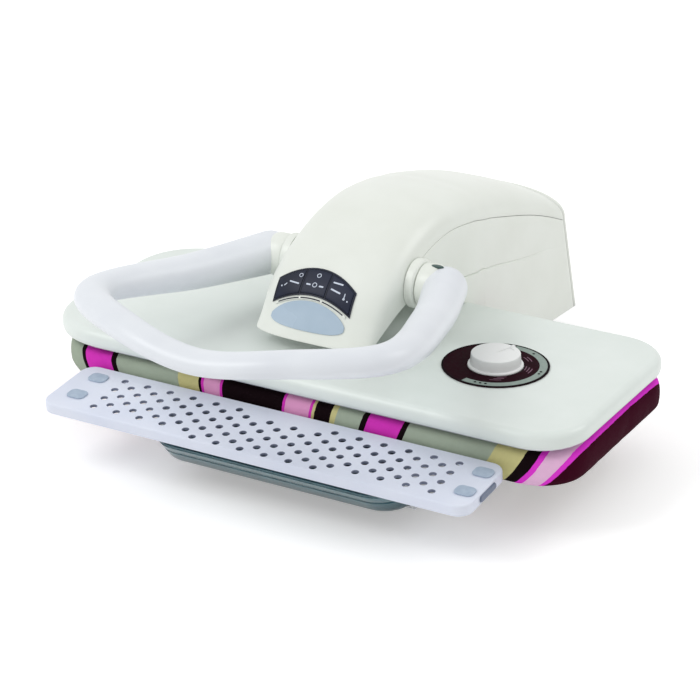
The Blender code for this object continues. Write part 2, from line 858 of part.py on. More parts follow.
def tank_ring(height_share, distance, z):
    """Plan outline of the tank at a height; its front leans out towards the top."""
    front = -(tank_front_bottom + (tank_front_top - tank_front_bottom) * height_share)
    left, right = tank_x - tank_half_length, tank_x + tank_half_length
    corners = [(left, y_at(front), tank_front_radius), (right, y_at(front), tank_front_radius),
               (right, y_at(tank_rear_back), tank_rear_radius), (left, y_at(tank_rear_back), tank_rear_radius)]
    return ring(corners, z, distance, 6)


def tank_body(mat):
    """Clear tray with a leaning front and a rounded lower edge."""
    soft = tank_edge_radius / tank_height
    outer = [(0, tank_edge_radius, 0), (soft / 3, tank_edge_radius / 3, soft / 3), (soft, 0, soft), (1, 0, 1)]
    rings = [tank_ring(lean, side, tank_bottom + tank_height * up) for lean, side, up in outer]
    inner_bottom = tank_bottom + tank_wall
    rings.append(tank_ring(1, tank_wall, tank_bottom + tank_height))
    rings.append(tank_ring(soft, tank_wall, inner_bottom + tank_edge_radius))
    rings.append(tank_ring(soft / 2, tank_wall + tank_edge_radius / 3, inner_bottom))
    return place("tank_body", loft(rings), mat)


def tank_filler():
    """Centre of the filler hole."""
    return (tank_x + tank_filler_x, y_at(-tank_filler_front), 0)


def tank_lid(mat):
    """Lid of the tank with its filler hole."""
    low = tank_bottom + tank_height + gap
    high = low + tank_lid_thickness
    obj = place("tank_lid", loft([tank_ring(1, gap, low), tank_ring(1, gap, high)]), mat)
    hole = turned([(tank_filler_radius, low - overrun), (tank_filler_radius, high + overrun)])
    return boolean(obj, "cut_filler", moved(hole, tank_filler()))


def tank_cap(mat):
    """Quarter-turn cap with a plug and a grip across it."""
    low = tank_bottom + tank_height + gap + tank_lid_thickness + gap
    top = low + cap_height
    plug_radius = tank_filler_radius - running_gap
    profile = [(plug_radius, low - cap_plug_depth), (plug_radius, low), (cap_radius, low),
               (cap_radius, top - gap), (cap_radius - gap, top)]
    origin = tank_filler()[:2] + (low,)
    obj = place("tank_cap", moved(turned(profile), tank_filler()), mat, origin)
    half = cap_grip_width / 2
    grooves = []
    for side in (-1, 1):
        outline = rectangle(-cap_radius, cap_radius, side * 2 * half - half, side * 2 * half + half, half / 2)
        grooves.append(prism(filleted(outline, 2), top - cap_grip_height, top + overrun))
    return boolean(obj, "cut_cap_grip", moved(joined(grooves), tank_filler()))


def shelf_under(back):
    """Height of the underside of the shelf's plate at a distance back."""
    fall = (-shelf_rear_front - back) * math.tan(shelf_tilt)
    return shelf_z - fall - (shelf_plate_thickness + gap) / math.cos(shelf_tilt)


def shelf_rails(mat):
    """Two brackets that carry the shelf and, on their lips, the sliding tank."""
    lip_top = tank_bottom - gap
    low = lip_top - rail_lip_thickness
    back = chassis_front_back - gap
    rear = -shelf_rear_front - 2 * shelf_rim_wall
    front = -rail_front_top
    ledge = chassis_top - running_gap
    front_ledge = tank_bottom + tank_height
    outline = [(y_at(back), low), (y_at(back), ledge), (y_at(rear), ledge), (y_at(rear), shelf_under(rear)),
               (y_at(front), shelf_under(front)), (y_at(front), front_ledge), (y_at(-rail_front_bottom), low)]
    lip = [(y_at(back), low), (y_at(back), lip_top), (y_at(-rail_front_bottom), lip_top),
           (y_at(-rail_front_bottom), low)]
    for side, end in ((-1, "left"), (1, "right")):
        inner = tank_x + side * (tank_half_length + running_gap)
        outer = inner + side * rail_thickness
        obj = place(f"shelf_rail_{end}", side_prism(outline, inner, outer), mat)
        tongue = side_prism(lip, inner - side * rail_lip_width, inner + side * rail_thickness / 2)
        boolean(obj, f"join_lip_{end}", tongue, "UNION")
        slot = rectangle(y_at(rear), y_at(back - 4 * rail_slot_radius), lip_top + rail_slot_radius / 2,
                         lip_top + 2.5 * rail_slot_radius, rail_slot_radius - least_radius)
        window = side_prism(filleted(slot, 4), inner - side * overrun, outer + side * overrun)
        boolean(obj, f"cut_rail_slot_{end}", window)


def water_socket(mat):
    """Hollow water socket between the base and the tank's rear wall."""
    length = chassis_front_back - tank_rear_back - 2 * gap
    profile = [(socket_bore, 0), (socket_radius, 0), (socket_radius, length), (socket_bore, length)]
    body = along_y(turned(profile, small_sides, hollow=True),
                   (tank_x, y_at(tank_rear_back) + gap, chassis_z + socket_up))
    return place("water_socket", body, mat)


# Arm

def rib_at(station):
    """Rib of the arm at a station, counted in rows of its table of shares."""
    top_back, top_up, low_back, low_up, seam, foot, crown, crease, step = spline(arm_rib_shares, station)
    top = Vector((arm_x, y_at(arm_start_back + arm_length * top_back), head_top + arm_rise * top_up))
    bottom = Vector((arm_x, y_at(arm_start_back + arm_length * low_back), head_top + arm_rise * low_up))
    return Rib(top, bottom, arm_half_width * seam, arm_half_width * foot, crown_depth * crown, crease,
               crease_step * step)


def rib_point(rib, across, down):
    """Point of a rib's plane, across from the arm's middle and down from its top."""
    point = rib.top + (rib.bottom - rib.top).normalized() * down
    point.x = arm_x + across
    return point


def crown_point(rib, turn):
    """Point of the crowned top at a turn from -1 at the left seam to 1 at the right seam."""
    angle = abs(turn) * math.pi / 2
    across = rib.seam_width * math.sin(angle) ** crown_power
    down = rib.crown * (1 - max(math.cos(angle), 0) ** crown_power)
    return rib_point(rib, math.copysign(across, turn), down)


def side_point(rib, level, side):
    """Point of the side at a level from 0 at the seam to 1 at the lower edge."""
    height = (rib.bottom - rib.top).length - rib.crown
    across = rib.seam_width + (rib.foot_width - rib.seam_width) * level
    if level > rib.crease:
        across += rib.crease_step
    return rib_point(rib, side * across, rib.crown + height * level)


def crown_row(rib, columns=12):
    """Points across the crowned top of a rib, from the left seam to the right one."""
    return [crown_point(rib, 2 * k / columns - 1) for k in range(columns + 1)]


def side_levels(rib, first=0.0):
    """Levels down the side, with two close together at the crease."""
    levels = [first + (rib.crease - first) * share for share in panel_level_shares]
    return levels + [rib.crease + (1 - rib.crease) * share for share in crease_level_shares]


def skin(bm, rows):
    """Faces between rows of vertices."""
    for low, high in zip(rows, rows[1:]):
        for i in range(len(low) - 1):
            bm.faces.new((low[i], low[i + 1], high[i + 1], high[i]))


def walled(obj):
    """Give an open surface the arm's wall, grown inwards."""
    wall = obj.modifiers.new("wall", "SOLIDIFY")
    wall.thickness = arm_wall
    wall.offset = -1
    wall.use_even_offset = True
    return obj


def arm_top_cover(mat):
    """Crowned cover: the whole nose, and the top of the arm behind the knuckles."""
    bm = bmesh.new()
    last = len(arm_rib_shares) - 1
    front = stations(0, panel_start_station)
    rear = stations(panel_start_station, last)[1:]
    rows = [[bm.verts.new(point) for point in crown_row(rib_at(station))] for station in front + rear]
    skin(bm, rows)
    for side, edge in ((-1, 0), (1, -1)):
        side_rows = []
        for row, station in zip(rows, front):
            rib = rib_at(station)
            lower = [bm.verts.new(side_point(rib, level / 3, side)) for level in (1, 2, 3)]
            side_rows.append([row[edge]] + lower)
        skin(bm, side_rows)
    bmesh.ops.recalc_face_normals(bm, faces=bm.faces)
    obj = walled(place("arm_top_cover", bm, mat))
    radius = handle_shaft_radius + gap
    reach = arm_half_width
    shaft = along_x(turned([(radius, -reach), (radius, reach)]), (arm_x, y_at(handle_pivot_back), pivot_z))
    boolean(obj, "cut_cover_shaft", shaft)
    window = face_patch(-key_half_width, key_half_width, key_low, key_high, overrun * 2, -overrun * 2,
                        running_gap)
    return boolean(obj, "cut_key_window", window)


def arm_side_panels(mat):
    """Two side panels below the seam, with a soft crease."""
    last = len(arm_rib_shares) - 1
    first = panel_start_station + seam_gap * last / arm_length
    for side, end in ((-1, "left"), (1, "right")):
        bm = bmesh.new()
        rows = []
        for station in stations(first, last):
            rib = rib_at(station)
            below = seam_gap / ((rib.bottom - rib.top).length - rib.crown)
            rows.append([bm.verts.new(side_point(rib, level, side)) for level in side_levels(rib, below)])
        skin(bm, rows)
        if side < 0:
            bmesh.ops.reverse_faces(bm, faces=bm.faces)
        walled(place(f"arm_side_panel_{end}", bm, mat))


def arm_rear_cover(mat):
    """Cover that closes the arm's rear, rounded in at its edge."""
    bm = bmesh.new()
    rib = rib_at(len(arm_rib_shares) - 1)
    rows = []
    for depth_share, inset_share in rear_cover_round_shares:
        depth = seam_gap + (rear_cover_depth - seam_gap) * depth_share
        shrink = rear_cover_inset * inset_share
        back = Vector((0, depth, 0))
        narrow = rib._replace(top=rib.top + back - Vector((0, 0, shrink)), bottom=rib.bottom + back,
                              seam_width=rib.seam_width - shrink, foot_width=rib.foot_width - shrink)
        left = [side_point(narrow, level, -1) for level in reversed(rear_cover_side_shares)]
        right = [side_point(narrow, level, 1) for level in rear_cover_side_shares]
        rows.append([bm.verts.new(point) for point in left + crown_row(narrow, 12) + right])
    skin(bm, rows)
    bm.faces.new(rows[-1])
    bmesh.ops.recalc_face_normals(bm, faces=bm.faces)
    return walled(place("arm_rear_cover", bm, mat))


def arm_bottom_cover(mat):
    """Floor of the arm, from the nose to the edge behind the board, let in between the sides."""
    nose = rib_at(0)
    rings = []
    along = (nose.bottom - nose.top).normalized()
    for share in nose_floor_shares[:-1]:
        down = nose.crown * share + 2 * arm_wall
        across = nose.seam_width * (1 - (1 - share) ** (2 / crown_power)) ** (crown_power / 2)
        rings.append((nose.top + along * down, across - 2 * arm_wall, Vector((0, -along.z, along.y))))
    for station in stations(0, floor_end_station):
        rib, ahead = rib_at(station), rib_at(station + slope_step)
        behind = rib_at(max(station - slope_step, 0))
        direction = (ahead.bottom - behind.bottom).normalized()
        start = rib.bottom + along * (2 * arm_wall if station == 0 else 0)
        rings.append((start, rib.foot_width - arm_wall - running_gap, Vector((0, -direction.z, direction.y))))
    sections = []
    for middle, half, up in rings:
        low, high = middle + up * gap, middle + up * (gap + arm_wall)
        sections.append([(arm_x - half, low.y, low.z), (arm_x + half, low.y, low.z),
                         (arm_x + half, high.y, high.z), (arm_x - half, high.y, high.z)])
    obj = place("arm_bottom_cover", loft(sections), mat)
    radius = hanger_radius + running_gap
    hole = turned([(radius, head_top), (radius, pivot_z)])
    return boolean(obj, "cut_hanger_hole", moved(hole, (arm_x, y_at(hanger_back), 0)))


# Control panel

def nose_station(length):
    """Station at which the top centre line has run a length from the nose's lower edge."""
    count = 6
    station, run, here = 0, 0, rib_at(0).top
    while True:
        ahead = rib_at(station + 1 / count).top
        step = (ahead - here).length
        if run + step >= length:
            return station + (length - run) / step / count
        station += 1 / count
        run += step
        here = ahead


def face_frame():
    """Directions of the nose's face: up along it and outwards from it."""
    up = (rib_at(2).top - rib_at(0).top).normalized()
    return up, Vector((0, -up.z, up.y))


def face_point(across, length, proud):
    """Point over the nose's skin, across from the arm's middle and along its centre line."""
    rib = rib_at(nose_station(length))
    sine = min(abs(across) / rib.seam_width, 1) ** (1 / crown_power)
    down = rib.crown * (1 - math.sqrt(1 - sine ** 2) ** crown_power)
    return rib_point(rib, across, down) + face_frame()[1] * proud


def key_high(across):
    """Upper edge of the keys."""
    return key_top - key_top_sag * (across / key_half_width) ** 2


def key_low(across):
    """Lower edge of the keys."""
    return key_bottom - key_bottom_sag * (across / key_half_width) ** 2


def strip_high(across):
    """Upper edge of the strip under the keys."""
    return key_low(across) - strip_spacing - bezel_border


def strip_low(across):
    """Lower edge of the strip under the keys."""
    return strip_high(across) - strip_height


def label_middle(across):
    """Middle line of the label plate."""
    return (strip_low(across) - strip_spacing + label_bottom) / 2


def label_half(across):
    """Half-height of the label plate, rounded off towards its ends."""
    share = abs(across / label_half_width)
    full = strip_low(across) - strip_spacing - label_bottom + label_bottom_sag * share ** 2
    return full / 2 * math.sqrt(1 - share ** label_corner_power)


def label_high(across):
    """Upper edge of the label plate."""
    return label_middle(across) + label_half(across)


def label_low(across):
    """Lower edge of the label plate."""
    return label_middle(across) - label_half(across)


def face_patch(left, right, low, high, proud, deep, grow=0.0, columns=8, flat=False):
    """Slab on the nose's skin between two edges that are functions of the place across."""
    left, right = left - grow, right + grow
    origin, (up, out) = rib_at(0).top, face_frame()
    rings = []
    for k in range(columns + 1):
        across = left + (right - left) * k / columns
        start, end = low(across) - grow, high(across) + grow
        lengths = [start + (end - start) * share / 3 for share in range(4)]
        front = [face_point(across + panel_shift, length, proud) for length in lengths]
        if flat:
            rear = [origin + up * length + out * deep for length in lengths]
            for point in rear:
                point.x = arm_x + across + panel_shift
        else:
            rear = [face_point(across + panel_shift, length, deep) for length in lengths]
        rings.append(front + rear[::-1])
    return loft(rings)


def key_spans():
    """Name, left and right edge of each key."""
    edges = [-1, *key_divider_shares, 1]
    half = key_divider_width / 2
    spans = []
    for name, left, right in zip(("left", "middle", "right"), edges, edges[1:]):
        start = left * key_half_width + (half if left > -1 else 0)
        end = right * key_half_width - (half if right < 1 else 0)
        spans.append((name, start, end))
    return spans


def control_keys(mat):
    """Three keys that travel into the nose."""
    for name, left, right in key_spans():
        body = face_patch(left, right, key_low, key_high, key_proud, -key_depth, -running_gap, 5)
        centre = face_point((left + right) / 2 + panel_shift, (key_low(0) + key_high(0)) / 2, 0)
        place(f"key_{name}", body, mat, centre)


def control_bezel(mat):
    """Thin frame round the keys."""
    body = face_patch(-key_half_width, key_half_width, key_low, key_high, bezel_proud, seat_on_skin,
                      bezel_border, 10)
    obj = place("control_bezel", body, mat)
    for name, left, right in key_spans():
        window = face_patch(left, right, key_low, key_high, overrun, -overrun, 0, 5)
        boolean(obj, f"cut_bezel_{name}", window)
    return obj


def label_plate(mat):
    """Bare plate below the keys."""
    edge = label_half_width * label_end_share
    body = face_patch(-edge, edge, label_low, label_high, bezel_proud, seat_on_skin, 0, 14)
    return place("label_plate", body, mat)


def indicator_strip(mat):
    """Narrow strip between the keys and the label plate."""
    edge = key_half_width - strip_height
    body = face_patch(-edge, edge, strip_low, strip_high, bezel_proud, seat_on_skin, 0, 10)
    return place("indicator_strip", body, mat)


def key_mat(mat):
    """Rubber mat behind the keys, with a rim up to the cover and a flat back."""
    body = face_patch(-key_half_width, key_half_width, key_low, key_high, -mat_skin_gap, -mat_plane,
                      mat_border, 8, flat=True)
    obj = place("key_mat", body, mat)
    floor = -key_depth - key_travel - running_gap
    recess = face_patch(-key_half_width, key_half_width, key_low, key_high, overrun, floor, running_gap)
    return boolean(obj, "cut_mat_recess", recess)


def control_board(mat):
    """Circuit board behind the key mat."""
    up, out = face_frame()
    half = key_half_width + board_border
    low = key_low(key_half_width) - board_border
    high = key_top + board_border
    outline = filleted(rectangle(-half, half, low, high, board_border), 3)
    rings = []
    for depth in (mat_plane + gap, mat_plane + gap + board_thickness):
        rings.append([rib_at(0).top + Vector((x + panel_shift, 0, 0)) + up * length - out * depth
                      for x, length in outline])
    return place("control_board", loft(rings), mat)


# Handle

def handle_rows():
    """Centre line and section of the handle, from the right pivot round the front to the left one."""
    run = handle_pivot_back + handle_front
    half = []
    for across, forward, up, wide, high in handle_shares:
        half.append((handle_half_span * across, handle_pivot_back - run * forward,
                     handle_pivot_up + handle_climb * up, handle_section * wide, handle_section * high))
    mirrored = [(-row[0], *row[1:]) for row in half[-2::-1]]
    return half + mirrored


def section(centre, along, wide, high):
    """Oval ring of the handle, level across and square to its run."""
    across = Vector((-along.y, along.x, 0)).normalized()
    lift = along.cross(across)
    angles = [2 * math.pi * k / handle_sides for k in range(handle_sides)]
    return [centre + across * wide * math.cos(a) + lift * high * math.sin(a) for a in angles]


def handle_loop(mat):
    """Thick loop that runs from knuckle to knuckle round the front of the nose."""
    rows = handle_rows()
    count = (len(rows) - 1) * handle_steps
    samples = [spline(rows, (len(rows) - 1) * k / count) for k in range(count + 1)]
    centres = [Vector((arm_x + x, y_at(back), head_top + up)) for x, back, up, wide, high in samples]
    rings = []
    for i, sample in enumerate(samples):
        along = (centres[min(i + 1, count)] - centres[max(i - 1, 0)]).normalized()
        wide, high = sample[3:]
        ends = [(turn, -1) for turn in handle_end_turns] if i == 0 else []
        for turn, way in ends:
            angle = math.radians(turn)
            rings.append(section(centres[i] + along * high * math.sin(angle) * way, along,
                                 wide * math.cos(angle), high * math.cos(angle)))
        rings.append(section(centres[i], along, wide, high))
        if i == count:
            for turn in reversed(handle_end_turns):
                angle = math.radians(turn)
                rings.append(section(centres[i] + along * high * math.sin(angle), along,
                                     wide * math.cos(angle), high * math.cos(angle)))
    pivot = (arm_x, y_at(handle_pivot_back), pivot_z)
    obj = place("handle_loop", loft(rings), mat, pivot)
    start = arm_side + running_gap + knuckle_length - overrun
    end = start + overrun + handle_shaft_entry + gap
    radius = handle_shaft_radius + gap
    bores = [along_x(turned([(radius, side * start), (radius, side * end)]), pivot) for side in (-1, 1)]
    return boolean(obj, "cut_handle_bores", joined(bores))


def knuckles(mat):
    """Bosses on the arm's sides that carry the handle's shaft."""
    for side, end in ((-1, "left"), (1, "right")):
        bore = handle_shaft_radius + gap
        tip = knuckle_length
        profile = [(bore, 0), (knuckle_radius, 0), (knuckle_radius, tip - knuckle_edge),
                   (knuckle_radius - knuckle_edge / 3, tip - knuckle_edge / 3),
                   (knuckle_radius - knuckle_edge, tip), (bore, tip)]
        rings = [circle(radius, side * height) for radius, height in profile]
        bm = loft(rings, closed=True)
        start = arm_x + side * (arm_side + running_gap)
        place(f"handle_knuckle_{end}", along_x(bm, (start, y_at(handle_pivot_back), pivot_z)), mat)


def handle_shaft(mat):
    """Steel shaft through the arm, the knuckles and the handle's ends."""
    reach = arm_side + running_gap + knuckle_length + handle_shaft_entry - gap
    pivot = (arm_x, y_at(handle_pivot_back), pivot_z)
    rod = turned([(handle_shaft_radius, -reach), (handle_shaft_radius, reach)], small_sides)
    return place("handle_shaft", along_x(rod, pivot), mat, pivot)


def pressure_cam(mat):
    """Cam on the handle's shaft beside the hanger."""
    inner, outer = cam_inner, cam_inner + cam_width
    bore = handle_shaft_radius + gap
    shifted = (0, cam_offset)
    rings = [circle(cam_radius, inner, small_sides, shifted), circle(cam_radius, outer, small_sides, shifted),
             circle(bore, outer, small_sides), circle(bore, inner, small_sides)]
    pivot = (arm_x, y_at(handle_pivot_back), pivot_z)
    return place("pressure_cam", along_x(loft(rings, closed=True), pivot), mat, pivot)


# Frame, hinge and hanger

def frame_points():
    """Centre line of the frame from the nose to just past the hinge, as (back, up) pairs."""
    points = [Vector((arm_start_back + arm_length * back, arm_rise * up)) for back, up in frame_shares]
    hinge = Vector((hinge_back, -hinge_drop))
    tail = (hinge - points[-1]).normalized() * frame_tail
    return points + [hinge, hinge + tail]


def arm_frame(mat):
    """Folded steel channel, open below, that joins the head to the hinge."""
    points = frame_points()
    rings = []
    for i, point in enumerate(points):
        before = (point - points[i - 1]).normalized() if i else (points[1] - point).normalized()
        after = (points[i + 1] - point).normalized() if i < len(points) - 1 else before
        along = (before + after).normalized()
        lift = Vector((-along.y, along.x)) / along.dot(before)
        half, sheet = frame_depth / 2, frame_sheet
        outline = [(-1, -half, 0), (-1, half, 0), (1, half, 0), (1, -half, 0),
                   (1, -half, sheet), (1, half - sheet, sheet), (-1, half - sheet, sheet), (-1, -half, sheet)]
        rings.append([(arm_x + side * (frame_half_width - skip), y_at(point.x + lift.x * up),
                       head_top + point.y + lift.y * up) for side, up, skip in outline])
    obj = place("arm_frame", loft(rings), mat)
    reach = frame_half_width + overrun
    hinge = (arm_x, y_at(hinge_back), hinge_z)
    bore = along_x(turned([(bush_radius + gap, -reach), (bush_radius + gap, reach)], small_sides), hinge)
    boolean(obj, "cut_bush_holes", bore)
    pivot = (arm_x, y_at(handle_pivot_back), pivot_z)
    radius = handle_shaft_radius + gap
    shaft = along_x(turned([(radius, -reach), (radius, reach)], small_sides), pivot)
    return boolean(obj, "cut_frame_shaft", shaft)


def hinge_bushes(mat):
    """Flanged bushes in the frame that turn on the hinge shaft."""
    for side, end in ((-1, "left"), (1, "right")):
        bore = hinge_shaft_radius + gap
        inner = frame_half_width - frame_sheet - bush_flange_thickness / 2
        seat = frame_half_width + gap
        outer = seat + bush_flange_thickness
        profile = [(bore, inner), (bush_radius, inner), (bush_radius, seat), (bush_flange_radius, seat),
                   (bush_flange_radius, outer), (bore, outer)]
        bm = loft([circle(radius, side * x, small_sides) for radius, x in profile], closed=True)
        place(f"hinge_bush_{end}", along_x(bm, (arm_x, y_at(hinge_back), hinge_z)), mat)


def bracket_inner():
    """Distance of a bracket's inner face from the arm's middle."""
    return frame_half_width + gap + bush_flange_thickness + bracket_clearance


def hinge_brackets(mat):
    """Two steel ears on the base that hold the hinge shaft."""
    low = chassis_top + gap
    y, z = y_at(hinge_back), hinge_z
    outline = [(y - bracket_foot_front, low), (y + bracket_foot_rear, low)]
    for turn in range(-30, 151, 20):
        angle = math.radians(turn)
        outline.append((y + bracket_eye_radius * math.cos(angle), z + bracket_eye_radius * math.sin(angle)))
    for side, end in ((-1, "left"), (1, "right")):
        inner = arm_x + side * bracket_inner()
        outer = inner + side * bracket_thickness
        obj = place(f"hinge_bracket_{end}", side_prism(outline, inner, outer), mat)
        radius = hinge_shaft_radius + gap
        span = [(radius, inner - arm_x - side * overrun), (radius, outer - arm_x + side * overrun)]
        bore = turned(span, small_sides)
        boolean(obj, f"cut_ear_{end}", along_x(bore, (arm_x, y, z)))


def hinge_shaft(mat):
    """Steel shaft between the brackets."""
    reach = bracket_inner() + bracket_thickness + hinge_overhang
    hinge = (arm_x, y_at(hinge_back), hinge_z)
    rod = turned([(hinge_shaft_radius, -reach), (hinge_shaft_radius, reach)], small_sides)
    return place("hinge_shaft", along_x(rod, hinge), mat, hinge)


def torsion_springs(mat):
    """Two coils round the hinge shaft that lift the arm: a leg under its frame, a leg on the base."""
    points = frame_points()
    run = (points[-2] - points[-1]).normalized()
    radius = frame_depth / 2 - frame_sheet - gap - spring_wire_radius
    first = math.atan2(-run.x, run.y)
    floor = chassis_top + gap + spring_wire_radius
    turns = spring_turns + (math.pi - first) / (2 * math.pi)
    count = round(turns * spring_points_per_turn)
    for side, end in ((-1, "left"), (1, "right")):
        start = Vector((math.cos(first), math.sin(first))) * radius + run * spring_leg
        route = [(0, start.x, start.y)]
        for k in range(count + 1):
            share = k / count
            angle = first + share * turns * 2 * math.pi
            across = side * share * turns * spring_pitch
            route.append((across, radius * math.cos(angle), radius * math.sin(angle)))
        route.append((side * turns * spring_pitch, -radius, floor - hinge_z))
        route = [(arm_x + side * spring_start + x, y_at(hinge_back) + y, hinge_z + z) for x, y, z in route]
        tube(f"torsion_spring_{end}", route, spring_wire_radius, mat)
    print("least gap between spring turns, mm:", round((spring_pitch - 2 * spring_wire_radius) * 1000, 2))


def head_hanger(mat):
    """Flanged post that hangs the head from the frame, with four webs."""
    low = head_top + gap
    flange = low + hanger_flange_thickness
    points = frame_points()
    top = head_top + points[0].y + frame_depth / 2 - frame_sheet - gap
    profile = [(hanger_flange_radius, low), (hanger_flange_radius, flange), (hanger_radius, flange),
               (hanger_radius, top)]
    centre = (arm_x, y_at(hanger_back), 0)
    obj = place("head_hanger", moved(turned(profile), centre), mat)
    rise = 2 * hanger_flange_thickness
    web = [(0, flange - hanger_flange_thickness / 2), (hanger_flange_radius - hanger_rib_thickness, flange - gap),
           (hanger_radius, flange + rise), (0, flange + rise)]
    for k in range(4):
        rib = side_prism(web, -hanger_rib_thickness / 2, hanger_rib_thickness / 2)
        rib.transform(Matrix.Translation(centre) @ Matrix.Rotation(k * math.pi / 2 + math.pi / 4, 4, "Z"))
        boolean(obj, f"join_hanger_web_{k}", rib, "UNION")
    return obj


def build():
    """Make every piece of the press."""
    ivory = material("ivory_plastic", "ecefe4", 0.35)
    head_paint = material("head_paint", "e3e9e2", 0.4)
    white = material("handle_plastic", "eef0f6", 0.3)
    shelf_white = material("shelf_plastic", "dde1ee", 0.4)
    pale_rubber = material("pale_rubber", "aab9cc", 0.8)
    black_rubber = material("black_rubber", "1b1b1d", 0.85)
    clear_plastic = material("tank_plastic", "7f9fa3", 0.15)
    cap_plastic = material("cap_plastic", "2c3140", 0.4)
    dial_print = material("dial_print", "2a0a18", 0.4)
    key_plastic = material("key_plastic", "2c3146", 0.35)
    label_plastic = material("label_plastic", "a9bccb", 0.3)
    base_plastic = material("base_plastic", "d9dcdd", 0.5)
    cover_cloth = material("cover_cloth", "b9aa9f", 0.9)
    foam = material("foam", "e6dcc0", 0.95)
    deck_board = material("deck_board", "8f7d66", 0.7)
    aluminium = material("aluminium", "b9bcc0", 0.35, 1.0)
    steel = material("steel", "9a9da2", 0.35, 1.0)
    brass = material("brass", "b08d4a", 0.35, 1.0)
    felt = material("insulation_felt", "d8d3c6", 0.95)
    circuit = material("circuit_board", "2f6b3f", 0.5)

    head_shell(head_paint)
    sole_plate(aluminium)
    heating_element(steel)
    insulation(felt)
    thermostat(steel)
    dial_ring(dial_print)
    dial_knob(white)

    base_chassis(base_plastic)
    bottom_plate(base_plastic)
    feet(black_rubber)
    board_deck(deck_board)
    board_pad(foam)
    board_cover(cover_cloth)
    pump(black_rubber)
    cord_inlet(black_rubber)

    shelf = shelf_plate(shelf_white)
    shelf_pads(shelf, pale_rubber)
    shelf_lenses(shelf, label_plastic)
    shelf_rails(base_plastic)
    tank_body(clear_plastic)
    tank_lid(clear_plastic)
    tank_cap(cap_plastic)
    water_socket(black_rubber)

    arm_top_cover(ivory)
    arm_side_panels(ivory)
    arm_rear_cover(ivory)
    arm_bottom_cover(ivory)
    control_bezel(key_plastic)
    control_keys(key_plastic)
    label_plate(label_plastic)
    indicator_strip(label_plastic)
    key_mat(black_rubber)
    control_board(circuit)

    handle_loop(white)
    knuckles(ivory)
    handle_shaft(steel)
    pressure_cam(steel)

    arm_frame(steel)
    hinge_bushes(brass)
    hinge_brackets(steel)
    hinge_shaft(steel)
    torsion_springs(steel)
    head_hanger(aluminium)


for leftover in list(bpy.data.objects):
    bpy.data.objects.remove(leftover, do_unlink=True)
build()
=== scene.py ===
# Dressing of the steam ironing press: fine covers, the padded board, printed marks,
# finishes, soft light and the camera. Lengths are metres, in the frame of the solids.

import json
import math
from collections import namedtuple

import bmesh
import bpy
from mathutils import Matrix, Vector, noise

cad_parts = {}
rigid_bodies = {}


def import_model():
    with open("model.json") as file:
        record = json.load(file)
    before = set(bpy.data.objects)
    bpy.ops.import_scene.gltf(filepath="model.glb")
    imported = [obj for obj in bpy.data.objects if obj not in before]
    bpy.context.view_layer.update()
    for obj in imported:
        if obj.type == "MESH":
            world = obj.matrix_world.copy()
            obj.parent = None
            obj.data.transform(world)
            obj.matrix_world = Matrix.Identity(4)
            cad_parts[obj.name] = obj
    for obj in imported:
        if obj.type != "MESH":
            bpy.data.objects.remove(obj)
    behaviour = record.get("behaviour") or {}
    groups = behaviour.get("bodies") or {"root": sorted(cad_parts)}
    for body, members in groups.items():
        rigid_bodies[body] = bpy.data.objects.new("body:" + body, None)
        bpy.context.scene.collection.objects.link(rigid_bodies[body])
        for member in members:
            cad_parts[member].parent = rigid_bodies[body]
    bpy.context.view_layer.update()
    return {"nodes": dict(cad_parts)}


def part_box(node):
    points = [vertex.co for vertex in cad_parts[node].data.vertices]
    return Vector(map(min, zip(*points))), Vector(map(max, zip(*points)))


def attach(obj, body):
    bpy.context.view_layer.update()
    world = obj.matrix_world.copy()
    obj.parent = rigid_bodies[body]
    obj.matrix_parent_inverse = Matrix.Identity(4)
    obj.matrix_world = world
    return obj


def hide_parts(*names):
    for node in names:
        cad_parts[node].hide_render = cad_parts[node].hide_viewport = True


for leftover in list(bpy.data.objects):
    bpy.data.objects.remove(leftover, do_unlink=True)
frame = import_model()
mm = 0.001

# Fits
gap = 0.3 * mm
running_gap = 0.5 * mm
seam_gap = 0.6 * mm
print_lift = 0.04 * mm
print_depth = 0.12 * mm

# Angles in degrees up to which edges are shaded smooth, and from which they are rounded
smooth_angle = 35
cover_smooth_angle = 50
cloth_smooth_angle = 60
rounded_angle = 50

# The sign of each side of the press, and its name
both_sides = ((-1, "left"), (1, "right"))

# Heated head
head_half_width = 320 * mm
head_depth = 280 * mm
head_left_radius = 75.5 * mm
head_right_radius = 56 * mm
shell_wall = 3 * mm
shell_edge_radius = 9 * mm
shell_foot_height = 6 * mm
shell_foot_depth = 2.4 * mm
front_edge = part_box("head_shell")[0].y
head_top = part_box("head_shell")[1].z
shell_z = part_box("head_shell")[0].z

# Dial
dial_low, dial_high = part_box("dial_ring")
dial_x = (dial_low.x + dial_high.x) / 2
dial_y = (dial_low.y + dial_high.y) / 2
dial_top = dial_high.z
knob_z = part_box("dial_knob")[0].z
knob_flange_radius = 29.5 * mm
knob_flange_thickness = 3 * mm
knob_foot_radius = 27 * mm
knob_top_radius = 26.2 * mm
knob_height = 15 * mm
knob_edge = 1.2 * mm
knob_pointer_angle = math.radians(70)
knob_bore_radius = 3.3 * mm
knob_bore_depth = 7.3 * mm
knob_wedge_depth = 0.8 * mm
knob_wedge_margin = 5.4 * mm
knob_wedge_spread = math.radians(24)
knob_nib_half_width = 2.1 * mm
knob_nib_edge = 0.8 * mm
knob_nib_rise = 0.6 * mm
knob_nib_soft_edge = 0.3 * mm
rim_line_share = 0.965
pale_arc_shares = (0.955, 0.81)
pale_arc_span = (-104, 92)
heat_dot_share = 0.877
heat_dot_radius = 1.5 * mm
heat_dot_spacing = 6.5
heat_dots = ((1, 63), (2, 4), (3, -82))
dash_half_angle = 9

